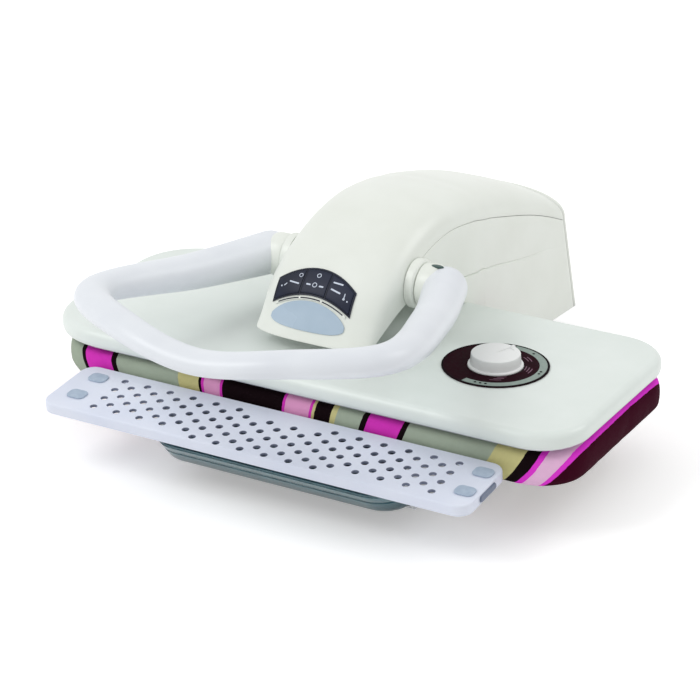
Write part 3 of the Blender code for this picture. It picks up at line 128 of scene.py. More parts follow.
# Dashes on the dial: middle angle in degrees, inner and outer share of the ring's radius
dial_dash_shares = (
    (52, 0.62, 0.64), (50, 0.68, 0.70), (12, 0.56, 0.58), (8, 0.62, 0.64),
    (4, 0.68, 0.70), (-52, 0.56, 0.58), (-58, 0.62, 0.64), (-64, 0.68, 0.70),
)

# Board
board_left_inset = 9.5 * mm
cloth = 1.5 * mm
cover_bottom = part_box("board_deck")[0].z - running_gap - cloth
cover_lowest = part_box("board_cover")[0].z
cover_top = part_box("board_cover")[1].z
deck_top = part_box("board_deck")[1].z
hem_width = 33 * mm
hem_inset = 12 * mm
hem_shares = (0.6, 0.25)
pocket_inset = 15 * mm
cushion_top_insets = (22 * mm, 134 * mm)
corner_pull_share = 0.75
corner_pull_start = 9 * mm
corner_pull_x = (0.15, 0.25)
blown_limit = 1.2 * mm
blown_frames = 20
fold_count = 72
fold_height = 0.25 * mm
fold_grain = 60
hem_draw = 0.3 * mm
wander_height = 0.4 * mm
wander_grain = 22
top_sink = 0.5 * mm

# Shelf
shelf_x = 5.8 * mm
shelf_half_length = 253 * mm
shelf_rear_front = 4 * mm
shelf_rear_z = head_top - 37 * mm
shelf_slope_length = 92.3 * mm
shelf_tilt = math.radians(4.7)
shelf_thickness = 3 * mm
shelf_rim_depth = 12 * mm
shelf_rim_wall = 2.5 * mm
shelf_corner_radius = 16 * mm
shelf_edge = 2 * mm
shelf_hole_radius = 3.6 * mm
shelf_hole_flare = 0.5 * mm
shelf_pitch_x = 28.7 * mm
shelf_pitch_y = 19.9 * mm
shelf_front_row = 76.7 * mm
shelf_field_shift = 6.5 * mm
shelf_pad_x = shelf_half_length - 22 * mm
shelf_pad_slopes = (23.5 * mm, 63 * mm)
shelf_pad_half_width = 10.5 * mm
shelf_pad_half_depth = 8.5 * mm
shelf_pad_radius = 6 * mm
shelf_pad_steps = ((0, 0), (1.1 * mm, 0), (1.4 * mm, 0.3 * mm), (1.5 * mm, 0.9 * mm))

# Tank
tank_x = 25 * mm
tank_half_length = 142 * mm
tank_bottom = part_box("tank_body")[0].z
tank_height = 26.5 * mm
tank_wall = 2 * mm
tank_front_top = 88 * mm
tank_front_bottom = 66 * mm
tank_rear_back = 30 * mm
tank_front_radius = 30 * mm
tank_rear_radius = 10 * mm
tank_edge_radius = 6 * mm
tank_groove = 0.8 * mm
tank_groove_shares = (0.60, 0.62, 0.66, 0.68)
# Height above the tank's foot over which its painted shade fades out
tank_foot_shade_height = 14 * mm
tank_lid_thickness = 2 * mm
tank_filler_radius = 13 * mm
tank_filler_x = 95 * mm
tank_filler_front = 26 * mm

# Arm
arm_x = -10 * mm
arm_start_back = 58 * mm
arm_length = 446.5 * mm
arm_rise = 127 * mm
arm_half_width = 105 * mm
arm_wall = 2.5 * mm
arm_cover_edge = 0.5 * mm
side_panel_edge = 0.3 * mm
crown_depth = 34 * mm
crown_power = 0.77
crown_columns = 36
crease_step = 1.4 * mm
crease_groove_share = 1.3
rear_cover_depth = 10.5 * mm
rear_cover_inset = 6 * mm
rear_cover_straight_share = 0.45
panel_start_station = 3.7
arm_side_share = 0.686
arm_side = arm_half_width * arm_side_share

# Each rib: top back, top up, bottom back, bottom up, seam width, foot width, crown, crease,
# crease step
arm_rib_shares = (
    (0.000, 0.118, 0.045, 0.138, 0.667, 0.667, 0.53, 0.90, 0.0),
    (0.031, 0.315, 0.105, 0.228, 0.676, 0.676, 0.70, 0.90, 0.0),
    (0.072, 0.543, 0.179, 0.323, 0.686, 0.686, 0.88, 0.90, 0.0),
    (0.161, 0.772, 0.255, 0.358, 0.686, 0.686, 0.97, 0.90, 0.0),
    (0.278, 0.937, 0.338, 0.300, 0.686, 0.690, 1.00, 0.86, 0.6),
    (0.403, 1.000, 0.430, 0.072, 0.695, 0.714, 1.00, 0.72, 1.0),
    (0.524, 0.965, 0.515, -0.075, 0.719, 0.780, 1.00, 0.615, 1.0),
    (0.587, 0.921, 0.542, -0.315, 0.733, 0.825, 1.00, 0.45, 0.9),
    (0.652, 0.874, 0.546, -0.669, 0.752, 0.871, 1.00, 0.33, 0.7),
    (0.803, 0.724, 0.755, -0.669, 0.800, 0.925, 1.00, 0.34, 0.4),
    (0.889, 0.610, 0.889, -0.669, 0.848, 0.963, 1.00, 0.31, 0.1),
    (0.959, 0.488, 1.000, -0.669, 0.895, 1.000, 1.00, 0.30, 0.0),
)

# Control panel
panel_shift = -6 * mm
key_half_width = 46 * mm
key_top = 80.5 * mm
key_top_sag = 18 * mm
key_bottom = 51.5 * mm
key_bottom_sag = 14 * mm
key_divider_shares = (-0.352, 0.320)
key_divider_width = 1.2 * mm
key_proud = 1.6 * mm
key_depth = 3 * mm
key_edge = 0.35 * mm
key_window_reach = 8 * mm
bezel_window_reach = 4 * mm
plate_edge = 0.25 * mm
bezel_border = 1.8 * mm
bezel_proud = 1.2 * mm
seat_on_skin = 0.5 * mm
strip_height = 3 * mm
strip_spacing = 1.4 * mm
light_window_shares = ((-0.92, -0.36), (-0.31, 0.25), (0.30, 0.92))
light_window_margin = 0.8 * mm
label_half_width = 45.5 * mm
label_bottom = 11.8 * mm
label_bottom_sag = -5 * mm
label_corner_power = 8
label_end_share = 0.985

# Symbols of each key in millimetres on the face: across, along and then, for a ring, its outer
# and inner radius, or, for a bar, its half-length, half-height and turn in degrees
key_symbols = {
    "left": ((-21, 70, 2.4, 1.7), (-26, 60.5, 6.2, 0.8, -4), (-36, 56.5, 2.2, 0.5, 50),
             (-40.5, 54, 0.9, 0.9, 0)),
    "middle": ((0, 73.5, 2.6, 1.8), (-1, 62, 2.8, 2.0), (-8.5, 61.5, 2.6, 0.9, 0),
               (7, 61.5, 2.6, 0.9, 0)),
    "right": ((25, 69, 6, 0.9, -4), (25, 60, 6.2, 0.9, -14), (36.5, 57, 2.6, 0.5, 90),
              (36.5, 53.4, 1.3, 0.3), (41, 51.5, 0.8, 0.8, 0)),
}

# Handle
handle_pivot_share = 0.24
handle_pivot_up_share = 0.476
handle_pivot_back = arm_start_back + arm_length * handle_pivot_share
handle_pivot_up = arm_rise * handle_pivot_up_share
handle_front = 156 * mm
handle_half_span = 173 * mm
handle_section = 21 * mm
handle_sides = 28
handle_end_turns = (math.radians(12), math.radians(84))

# Half of the loop: across, forward, up, section width, section height
handle_shares = (
    (0.625, 0.000, 0.0, 1.14, 1.14),
    (0.825, 0.305, 0.2, 1.02, 0.94),
    (1.000, 0.748, 1.0, 0.93, 0.72),
    (0.540, 0.946, 1.0, 0.90, 0.64),
    (0.000, 1.000, 0.6, 0.86, 0.60),
)
handle_climb = 26.5 * mm
knuckle_radius = 27 * mm
knuckle_length = 10 * mm
knuckle_edge = 3 * mm
collar_radius = 24.4 * mm
collar_edge = 2 * mm
collar_soft_edge = 0.6 * mm
collar_setback = 12 * mm
collar_turn = math.radians(70)
collar_flat_share = 0.7
lens_mark_sink = 0.5 * mm
lens_mark_steps = ((0, 1.0), (0.8 * mm, 1.0), (1.1 * mm, 0.9), (1.25 * mm, 0.6))
lens_mark_dip = 0.06
lens_mark_in = 8.5 * mm
lens_mark_half_length = 7 * mm
lens_mark_half_height = 3.2 * mm
handle_shaft_radius = 8 * mm
shaft_hole_radius = handle_shaft_radius + gap
knuckle_end = arm_side + running_gap + knuckle_length
shaft_bore_start = 4 * mm
shaft_bore_depth = 19 * mm
pivot = Vector((arm_x, front_edge + handle_pivot_back, head_top + handle_pivot_up))

# Camera and studio
camera_place = (1.2674, -2.2752, 1.2292)
camera_turn = math.radians(29.519)
camera_dip = math.radians(23.695)
camera_lens = 133.7
sensor_width = 36.0
floor_half = 40.0
floor_cloud = 0.8
floor_glow = 0.32
world_level = 0.7
clip_end = 100

# Lamps: name, place, diameter and power in watts
lamps = (("key_lamp", (-1.6, -1.8, 2.6), 1.8, 34), ("rim_lamp", (1.8, 1.6, 2.2), 1.6, 16))
lamp_aim = Vector((0, 0, 0.1))

Rib = namedtuple("Rib", "top bottom seam_width foot_width crown crease crease_step")


def y_at(back):
    """Y of a point at a distance behind the head's front edge."""
    return front_edge + back


# Making meshes

def filleted(corners, steps):
    """Outline of a polygon of (x, y, radius) corners, each corner rounded by an arc."""
    points = []
    for i, (x, y, radius) in enumerate(corners):
        here = Vector((x, y))
        before = (Vector(corners[i - 1][:2]) - here).normalized()
        after = (Vector(corners[(i + 1) % len(corners)][:2]) - here).normalized()
        half = before.angle(after) / 2
        centre = here + (before + after).normalized() * radius / math.sin(half)
        start = here + before * radius / math.tan(half) - centre
        end = here + after * radius / math.tan(half) - centre
        first = math.atan2(start.y, start.x)
        turn = (math.atan2(end.y, end.x) - first + math.pi) % (2 * math.pi) - math.pi
        for k in range(steps + 1):
            angle = first + turn * k / steps
            points.append((centre.x + radius * math.cos(angle), centre.y + radius * math.sin(angle)))
    return points


def inset(corners, distance):
    """Move each edge of a counter-clockwise rectangle inwards, with its corner radii."""
    (left, front, _), (right, _, _), (_, rear, _), _ = corners
    places = ((left + distance, front + distance), (right - distance, front + distance),
              (right - distance, rear - distance), (left + distance, rear - distance))
    return [(x, y, max(corner[2] - distance, mm)) for (x, y), corner in zip(places, corners)]


def rectangle(left, right, front, rear, radius):
    """Corners of a rectangle whose corners share one radius, counter-clockwise."""
    return [(left, front, radius), (right, front, radius), (right, rear, radius), (left, rear, radius)]


def ring(corners, z, distance=0.0, steps=14):
    """Points of an inset outline at a height."""
    return [(x, y, z) for x, y in filleted(inset(corners, distance), steps)]


def circle(radius, z, sides, centre=(0, 0)):
    """Points of a level circle."""
    angles = [2 * math.pi * k / sides for k in range(sides)]
    return [(centre[0] + radius * math.cos(a), centre[1] + radius * math.sin(a), z) for a in angles]


def loft(rings, closed=False):
    """One body through rings of as many points each; its ends are capped or, if closed, joined."""
    bm = bmesh.new()
    rows = [[bm.verts.new(point) for point in points] for points in rings]
    pairs = list(zip(rows, rows[1:]))
    if closed:
        pairs.append((rows[-1], rows[0]))
    else:
        bm.faces.new(rows[0][::-1])
        bm.faces.new(rows[-1])
    for low, high in pairs:
        for i in range(len(low)):
            j = (i + 1) % len(low)
            bm.faces.new((low[i], low[j], high[j], high[i]))
    bmesh.ops.recalc_face_normals(bm, faces=bm.faces)
    return bm


def skin(bm, rows):
    """Faces between rows of vertices."""
    for low, high in zip(rows, rows[1:]):
        for i in range(len(low) - 1):
            bm.faces.new((low[i], low[i + 1], high[i + 1], high[i]))


def prism(outline, low, high):
    """Body of a level outline between two heights."""
    return loft([[(x, y, z) for x, y in outline] for z in (low, high)])


def turned(profile, sides=64):
    """Body of (radius, height) pairs turned about Z."""
    return loft([circle(radius, height, sides) for radius, height in profile])


def bored(profile, side):
    """Body of a closed profile of (radius, distance) pairs turned about Z, up or, at -1, down."""
    return loft([circle(radius, side * distance, 72) for radius, distance in profile], closed=True)


def rounded(radius, low, high, edge, steps=4):
    """Profile of a disc whose upper edge is rounded, from its foot to its flat top."""
    profile = [(radius, low)]
    for k in range(steps + 1):
        angle = math.pi / 2 * k / steps
        profile.append((radius - edge + edge * math.cos(angle), high - edge + edge * math.sin(angle)))
    return profile


def shifted(bm, place):
    """Shift a body."""
    bm.transform(Matrix.Translation(place))
    return bm


def along_x(bm, centre):
    """Lay a body that was built along Z along +X from a centre point."""
    bm.transform(Matrix.Translation(centre) @ Matrix.Rotation(math.pi / 2, 4, "Y"))
    return bm


def joined(parts):
    """Put separate bodies into one mesh."""
    whole = bmesh.new()
    for part in parts:
        mesh = bpy.data.meshes.new("piece")
        part.to_mesh(mesh)
        part.free()
        whole.from_mesh(mesh)
        bpy.data.meshes.remove(mesh)
    return whole


def shown(name, bm, finish, angle=smooth_angle):
    """Put a body into the scene with its finish, smooth up to an angle in degrees."""
    mesh = bpy.data.meshes.new(name)
    bm.to_mesh(mesh)
    bm.free()
    mesh.materials.append(finish)
    obj = bpy.data.objects.new(name, mesh)
    bpy.context.scene.collection.objects.link(obj)
    smooth(obj, angle)
    return obj


def smooth(obj, angle=smooth_angle):
    """Shade an object smooth up to an angle in degrees."""
    obj.data.shade_smooth()
    obj.data.set_sharp_from_angle(angle=math.radians(angle))


def piece(name, bm, finish, body, replaced=()):
    """A piece of the press that rides on a body and may stand for solids."""
    obj = shown(name, bm, finish)
    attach(obj, body)
    if replaced:
        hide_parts(*replaced)
    return obj


def cut(obj, name, bm, finish=None):
    """Cut a body out of an object for good; the new walls may have a finish of their own."""
    guide = shown(name, bm, finish)
    change = obj.modifiers.new(name, "BOOLEAN")
    change.operation = "DIFFERENCE"
    change.solver = "EXACT"
    change.material_mode = "TRANSFER" if finish else "INDEX"
    change.object = guide
    bake(obj)
    smooth(obj)
    bpy.data.objects.remove(guide, do_unlink=True)


def bake(obj):
    """Apply an object's modifiers to its mesh."""
    bpy.context.view_layer.update()
    view = bpy.context.evaluated_depsgraph_get()
    mesh = bpy.data.meshes.new_from_object(obj.evaluated_get(view), depsgraph=view)
    obj.modifiers.clear()
    obj.data = mesh


def walled(obj, wall, edge=0.0, even=True):
    """Give an open surface a wall grown inwards, with softened edges.

    An even wall keeps its thickness at corners, but grows fins inside a sharp groove.
    """
    thick = obj.modifiers.new("wall", "SOLIDIFY")
    thick.thickness = wall
    thick.offset = -1
    thick.use_even_offset = even
    if edge:
        soften(obj, edge)
    else:
        bake(obj)


def soften(obj, width, segments=2):
    """Round an object's sharp edges for good, along with any change that waits on it."""
    bevel = obj.modifiers.new("edges", "BEVEL")
    bevel.width = width
    bevel.segments = segments
    bevel.limit_method = "ANGLE"
    bevel.angle_limit = math.radians(rounded_angle)
    bevel.use_clamp_overlap = True
    bake(obj)


def level_faces(obj):
    """Let an object's large flat faces rule its shading."""
    level = obj.modifiers.new("level", "WEIGHTED_NORMAL")
    level.keep_sharp = True


def spline(rows, station):
    """Numbers of a smooth curve through rows of numbers, at a station counted in rows."""
    index = min(int(station), len(rows) - 2)
    t = station - index
    before = rows[max(index - 1, 0)]
    after = rows[min(index + 2, len(rows) - 1)]
    values = []
    for a, b, c, d in zip(before, rows[index], rows[index + 1], after):
        cubic = 3 * b - a - 3 * c + d
        square = 2 * a - 5 * b + 4 * c - d
        values.append(b + ((c - a) * t + square * t ** 2 + cubic * t ** 3) / 2)
    return values


def between(first, last, count):
    """Evenly spaced numbers from one to another."""
    return [first + (last - first) * k / count for k in range(count + 1)]


# Making finishes

def linear(code):
    """Linear red, green, blue and a full alpha of a six-digit sRGB code."""
    channels = [int(code[i:i + 2], 16) / 255 for i in (0, 2, 4)]
    return (*[c / 12.92 if c <= 0.04045 else ((c + 0.055) / 1.055) ** 2.4 for c in channels], 1.0)


def add(tree, kind, inputs=None, **settings):
    """Add a node with its settings, and give its inputs values or links."""
    made = tree.nodes.new(kind)
    for name, value in settings.items():
        setattr(made, name, value)
    for key, value in (inputs or {}).items():
        if isinstance(value, bpy.types.NodeSocket):
            tree.links.new(value, made.inputs[key])
        else:
            made.inputs[key].default_value = value
    return made


def surface(name, **values):
    """A new material with its shader's plain values; returns it, its tree and its shader."""
    mat = bpy.data.materials.new(name)
    mat.use_nodes = True
    shader = mat.node_tree.nodes["Principled BSDF"]
    for key, value in values.items():
        shader.inputs[key.replace("_", " ").title().replace("Ior", "IOR")].default_value = value
    return mat, mat.node_tree, shader


def grain(tree, size, detail, stretch=(1, 1, 1)):
    """Noise whose cells are about a size across, in the object's own frame."""
    where = add(tree, "ShaderNodeTexCoord")
    scaled = add(tree, "ShaderNodeMapping", {"Vector": where.outputs["Object"], "Scale": stretch})
    return add(tree, "ShaderNodeTexNoise",
               {"Vector": scaled.outputs["Vector"], "Scale": 1 / size, "Detail": detail}).outputs["Fac"]


def textured(name, low, high, cloud, relief=None, strength=0.0, depth=0.0, gloss=None,
             gloss_from_relief=False, limits=(0.3, 0.7), **values):
    """A material whose colour drifts between two codes, with uneven gloss and a fine relief.

    A cloud or a relief is the size, the detail and, if need be, the stretch of its grain.
    """
    mat, tree, shader = surface(name, **values)
    drift = grain(tree, *cloud)
    share = add(tree, "ShaderNodeMapRange", {"Value": drift, "From Min": limits[0],
                                             "From Max": limits[1]})
    colour = add(tree, "ShaderNodeMix", {0: share.outputs["Result"], 6: linear(low), 7: linear(high)},
                 data_type="RGBA")
    tree.links.new(colour.outputs[2], shader.inputs["Base Color"])
    if relief:
        raised = grain(tree, *relief)
        bump = add(tree, "ShaderNodeBump", {"Height": raised, "Strength": strength, "Distance": depth})
        tree.links.new(bump.outputs["Normal"], shader.inputs["Normal"])
    if gloss:
        rough = add(tree, "ShaderNodeMapRange", {"Value": raised if gloss_from_relief else drift,
                                                 "From Min": 0.3, "From Max": 0.7,
                                                 "To Min": gloss[0], "To Max": gloss[1]})
        tree.links.new(rough.outputs["Result"], shader.inputs["Roughness"])
    return mat


def moulded(name, low, high, roughness, texture=0.5 * mm, depth=0.02 * mm, specular=0.5):
    """Injection-moulded plastic: a faint cloud of colour, a fine spark texture and uneven gloss."""
    return textured(name, low, high, (60 * mm, 3), (texture, 2), 0.35, depth,
                    (roughness * 0.9, roughness * 1.12), ior=1.5, specular_ior_level=specular)


def rubber(name, low, high, roughness=0.75):
    """Moulded rubber: dull, with a fine pebble and dusty patches."""
    return textured(name, low, high, (6 * mm, 4), (0.8 * mm, 2), 0.5, 0.05 * mm,
                    (roughness * 0.9, min(roughness * 1.15, 1)), ior=1.52)


def metal(name, low, high, roughness, stretch=(1, 12, 12), scratch=0.6 * mm):
    """Worked metal: long fine tool marks, cloudy reflections."""
    return textured(name, low, high, (25 * mm, 3), (scratch, 3, stretch), 0.3, 0.02 * mm,
                    (roughness * 0.75, roughness * 1.25), True, metallic=1.0)


def flecked(name, low, high, size, depth, roughness, stretch=(1, 1, 1)):
    """Felt, pressed board or laminate: flecks of two colours that stand in relief."""
    return textured(name, low, high, (size, 5, stretch), (size, 5, stretch), 0.7, depth,
                    limits=(0.35, 0.65), roughness=roughness)


def printed(name, low, high, roughness=0.6, specular=0.03):
    """Screen-printed ink: solid, with a faint screen pattern and uneven gloss."""
    return textured(name, low, high, (3 * mm, 3), (0.7 * mm, 2), 0.25, 0.01 * mm,
                    (roughness * 0.85, roughness * 1.2), ior=1.5, specular_ior_level=specular)


def clear_plastic():
    """Injection-moulded SAN: see-through and faintly hazy, with painted shade along its foot for how dark
    the clear plastic looks seen edge-on.
    """
    mat = textured("smoky_clear_plastic", "558f9d", "6fa5b1", (18 * mm, 3), (9 * mm, 2), 0.15, 0.05 * mm,
                   (0.06, 0.16), ior=1.57, transmission_weight=0.65)
    tree = mat.node_tree
    colour = tree.nodes["Principled BSDF"].inputs["Base Color"]
    where = add(tree, "ShaderNodeTexCoord")
    place = add(tree, "ShaderNodeSeparateXYZ", {"Vector": where.outputs["Object"]})
    foot_shade_share = add(tree, "ShaderNodeMapRange", {"Value": place.outputs["Z"], "From Min": tank_bottom,
                                            "From Max": tank_bottom + tank_foot_shade_height})
    # Painted shade: the colour darkens to a near-black teal over the lowest part of the tray
    tint = add(tree, "ShaderNodeMix", {0: foot_shade_share.outputs["Result"], 6: linear("08272f"),
                                       7: colour.links[0].from_socket}, data_type="RGBA")
    tree.links.new(tint.outputs[2], colour)
    return mat


# Yarn colours of the board's cloth
near_black, maroon, magenta, bright_magenta = "150a0e", "3a041b", "dc3abf", "ec3ddb"
pink, pale_pink, sage, khaki = "e7a1cd", "f4c4e8", "a6b2a0", "cfc98e"

# Its stripes: where each starts, in millimetres across the flat cloth, and its yarn
stripes = (
    (-420, maroon), (-345, magenta), (-332, pink), (-316, near_black), (-306, sage), (-267, near_black),
    (-260, magenta), (-226, near_black), (-217, sage), (-138, khaki), (-114, near_black),
    (-109, magenta), (-105, pink), (-86.5, magenta), (-82.5, near_black), (-8.5, magenta), (-5, pink),
    (24, magenta), (27.7, khaki), (31.3, near_black), (50.5, khaki), (56.5, sage), (88.5, near_black),
    (93, magenta), (133, near_black), (141, sage), (237, khaki), (271, near_black),
    (285, bright_magenta), (291, pale_pink), (310, bright_magenta), (318, maroon),
)
cloth_span = 840
stripe_waver = 1.2 * mm
thread_spacing = 1.4 * mm


def striped_cloth():
    """Plain-woven cotton, yarn-dyed in stripes: threads cross both ways, with slubs and a soft sheen.

    The threads are drawn in relief and in painted light and shade, about three times as wide apart as the
    real ones, so that they show.
    """
    mat, tree, shader = surface("striped_woven_cotton", roughness=0.85, specular_ior_level=0.03,
                                sheen_weight=0.02, sheen_roughness=0.5)
    flat = add(tree, "ShaderNodeAttribute", attribute_name="cloth")
    slub = grain(tree, 5 * mm, 3)
    waver = add(tree, "ShaderNodeMath", {0: slub, 1: stripe_waver}, operation="MULTIPLY")
    across = add(tree, "ShaderNodeSeparateXYZ", {"Vector": flat.outputs["Vector"]})
    place = add(tree, "ShaderNodeMath", {0: across.outputs["X"], 1: waver.outputs[0]}, operation="ADD")
    share = add(tree, "ShaderNodeMapRange", {"Value": place.outputs[0], "From Min": -cloth_span / 2 * mm,
                                             "From Max": cloth_span / 2 * mm})
    ramp = add(tree, "ShaderNodeValToRGB", {"Fac": share.outputs["Result"]})
    ramp.color_ramp.interpolation = "CONSTANT"
    stops = ramp.color_ramp.elements
    for index, (start, yarn) in enumerate(stripes):
        position = start / cloth_span + 0.5
        stop = stops[index] if index < 2 else stops.new(position)
        stop.position = position
        stop.color = linear(yarn)
    threads = []
    for axis in ("X", "Y"):
        wave = add(tree, "ShaderNodeMath", {0: across.outputs[axis], 1: 2 * math.pi / thread_spacing},
                   operation="MULTIPLY")
        threads.append(add(tree, "ShaderNodeMath", {0: wave.outputs[0]}, operation="SINE").outputs[0])
    weave = add(tree, "ShaderNodeMath", {0: threads[0], 1: threads[1]}, operation="MULTIPLY")
    relief = add(tree, "ShaderNodeMath", {0: weave.outputs[0], 1: slub}, operation="ADD")
    # Painted light and shade of the weave: the stripe colour darkens where the threads dip and lightens
    # on their crowns; the slubs add a real random tone
    shade = add(tree, "ShaderNodeMapRange", {"Value": relief.outputs[0], "From Min": -1, "From Max": 2,
                                             "To Min": 0.80, "To Max": 1.08})
    tint = add(tree, "ShaderNodeMix", {0: 1.0, 6: ramp.outputs["Color"], 7: shade.outputs["Result"]},
               data_type="RGBA", blend_type="MULTIPLY")
    tree.links.new(tint.outputs[2], shader.inputs["Base Color"])
    rumple = add(tree, "ShaderNodeBump", {"Height": grain(tree, 22 * mm, 2), "Strength": 0.6,
                                          "Distance": 2 * mm})
    cloth_face = add(tree, "ShaderNodeBump", {"Height": relief.outputs[0], "Strength": 0.5,
                                              "Distance": 0.12 * mm, "Normal": rumple.outputs["Normal"]})
    tree.links.new(cloth_face.outputs["Normal"], shader.inputs["Normal"])
    return mat


# Moulded ABS: a warm off-white with an even satin, so the crown shows only a broad soft light
ivory = moulded("moulded_ivory_abs", "e5e9e1", "eaeee7", 0.32)
# Sprayed paint on pressed steel: cooler and greener than the plastic, with a faint orange peel
pearl_paint = moulded("painted_pearl_white", "dee6e1", "e4ebe7", 0.34, 1.5 * mm)
# Moulded ABS: a bluish white that sets the loop off from the ivory arm
handle_white = moulded("moulded_cool_white_abs", "e0e4ea", "e7ebf0", 0.36)
# Moulded ABS: a neutral white with a faintly uneven gloss
knob_white = moulded("moulded_knob_white", "e9ebea", "f0f1f0", 0.38)
# Moulded polypropylene: waxy and lilac-white, with a coarser spark texture than the ABS
shelf_white = moulded("moulded_bluish_white_polypropylene", "d8deee", "e0e5f2", 0.45, 0.9 * mm, 0.04 * mm)
# Painted shade: the walls of the shelf's holes are the same polypropylene, painted slate grey for the
# shade in narrow holes
painted_hole_shade = moulded("painted_shade_in_shelf_holes", "6d7488", "7a8196", 0.6)
# Moulded ABS of the base: a plain pale grey with a matt spark texture
base_grey = moulded("moulded_pale_grey_abs", "cfd2d4", "d8dadc", 0.5, 0.9 * mm, 0.04 * mm)
# Moulded silicone rubber: blue-grey and dull, so the pads read as soft on the glossy shelf
pale_rubber = rubber("moulded_blue_grey_rubber", "9fb0c4", "b0bfd0", 0.6)
# Moulded rubber: near-black and dusty, with no highlight
black_rubber = rubber("moulded_black_rubber", "161618", "232325")
# Moulded polypropylene: a blue-black with a weak sheen
dark_cap = moulded("moulded_dark_blue_polypropylene", "1c202c", "252a39", 0.45, specular=0.25)
# Moulded ABS of the keys: slate blue, with a sheen only along the rounded edges
key_plastic = moulded("moulded_slate_blue_keys", "1a1f2e", "22283c", 0.4, specular=0.2)
# Brushed and lacquered plate: a pale blue that is glossier than the cover round it
label_blue = moulded("brushed_pale_blue_label", "a6bacb", "b4c6d6", 0.28)
# Screen print of the dial: a dark maroon ground that takes no highlight
maroon_print = printed("printed_maroon", "1c050d", "280814")
# Screen print: a sage arc that stays a flat mid grey-green beside the maroon
sage_print = printed("printed_sage_grey", "84948d", "94a39b", 0.5, 0.2)
# Screen print: near-black lines and dots with crisp edges
dark_print = printed("printed_near_black", "0e0b0e", "171317")
# Screen print: dusty pink dashes that stay dim on the maroon
pink_print = printed("printed_dusty_pink", "6d4c5e", "7c5a6b", 0.5, 0.2)
# Screen print: bluish white symbols, flat on the dark keys
white_print = printed("printed_white", "c6cfdf", "d6dde9", 0.5, 0.2)
# Polished moulded lens: a deep green with a sharp highlight
lens_green = moulded("moulded_dark_green_lens", "25423f", "35554f", 0.2)
# Polished moulded lens: a slate blue that is glossier than the shelf it closes
slate_lens = moulded("moulded_slate_blue_lens", "59647c", "68738b", 0.3)
# Cast and ground aluminium: pale and clouded, with long grinding marks that blur what it mirrors
cast_plate = metal("cast_and_ground_aluminium", "b8babe", "c0c2c6", 0.42, (1, 30, 30), 0.8 * mm)
# Zinc-plated steel: a mid grey, bright in streaks
bright_steel = metal("zinc_plated_steel", "8f9297", "a6a9ae", 0.32)
# Turned brass: warm yellow, with fine rings from the lathe
bearing_brass = metal("turned_brass", "a5823f", "bd9a58", 0.3, (12, 12, 1))
# Die-cast aluminium: a dull silver with a soft cloudy shine
die_cast = metal("die_cast_aluminium", "a0a3a7", "b5b8bc", 0.45)
# Pressed hardboard: brown fibre flecks that run one way, with no shine
board_wood = flecked("pressed_hardboard", "6f5c47", "9a8468", 3 * mm, 0.1 * mm, 0.75, (1, 3, 1))
# Needled glass felt: a fuzzy cream with deep soft flecks
white_felt = flecked("needled_glass_felt", "c9c4b6", "e2ddcf", 2 * mm, 0.3 * mm, 0.95)
# Glass laminate under solder mask: green with a fine mottle and a slight gloss
laminate = flecked("green_glass_laminate", "235a33", "35753f", 1 * mm, 0.02 * mm, 0.4)
smoky_clear = clear_plastic()
board_cloth = striped_cloth()


# Heated head

def head_corners():
    """Plan outline of the head."""
    left, right, front, rear = -head_half_width, head_half_width, y_at(0), y_at(head_depth)
    return [(left, front, head_left_radius), (right, front, head_right_radius),
            (right, rear, head_right_radius), (left, rear, head_left_radius)]


def board_corners():
    """Plan outline of the board, which stops short of the head's left end."""
    left = -head_half_width + board_left_inset
    return [(max(x, left), y, radius) for x, y, radius in head_corners()]


def head_cover():
    """Cover of the head, open below, with a full round along its upper edge and a soft one below."""
    corners = head_corners()
    rings = []
    for angle in between(math.pi / 2, 0, 4):
        radius = shell_edge_radius - shell_wall
        side = shell_wall + radius * (1 - math.cos(angle))
        rings.append(ring(corners, head_top - shell_wall - radius * (1 - math.sin(angle)), side, 20))
    rings.append(ring(corners, shell_z + gap, shell_wall, 20))
    rings.append(ring(corners, shell_z, shell_wall - gap, 20))
    for angle in between(0, math.pi / 2, 5):
        side = shell_foot_depth * (1 - math.sin(angle))
        rings.append(ring(corners, shell_z + shell_foot_height * (1 - math.cos(angle)), side, 20))
    for angle in between(0, math.pi / 2, 8)[1:]:
        side = shell_edge_radius * (1 - math.cos(angle))
        rings.append(ring(corners, head_top - shell_edge_radius * (1 - math.sin(angle)), side, 20))
    obj = piece("head_cover", loft(rings), pearl_paint, "arm", ["head_shell"])
    level_faces(obj)


def dial_sector(outer, inner, first, last, steps):
    """Thin printed arc on the dial between two radii and two angles in degrees."""
    low, high = dial_top + print_lift, dial_top + print_lift + print_depth
    rings = []
    for angle in between(math.radians(first), math.radians(last), steps):
        turn = Vector((math.cos(angle), math.sin(angle), 0))
        points = [turn * inner, turn * outer, turn * outer, turn * inner]
        rings.append([(dial_x + p.x, dial_y + p.y, z) for p, z in zip(points, (low, low, high, high))])
    return loft(rings)


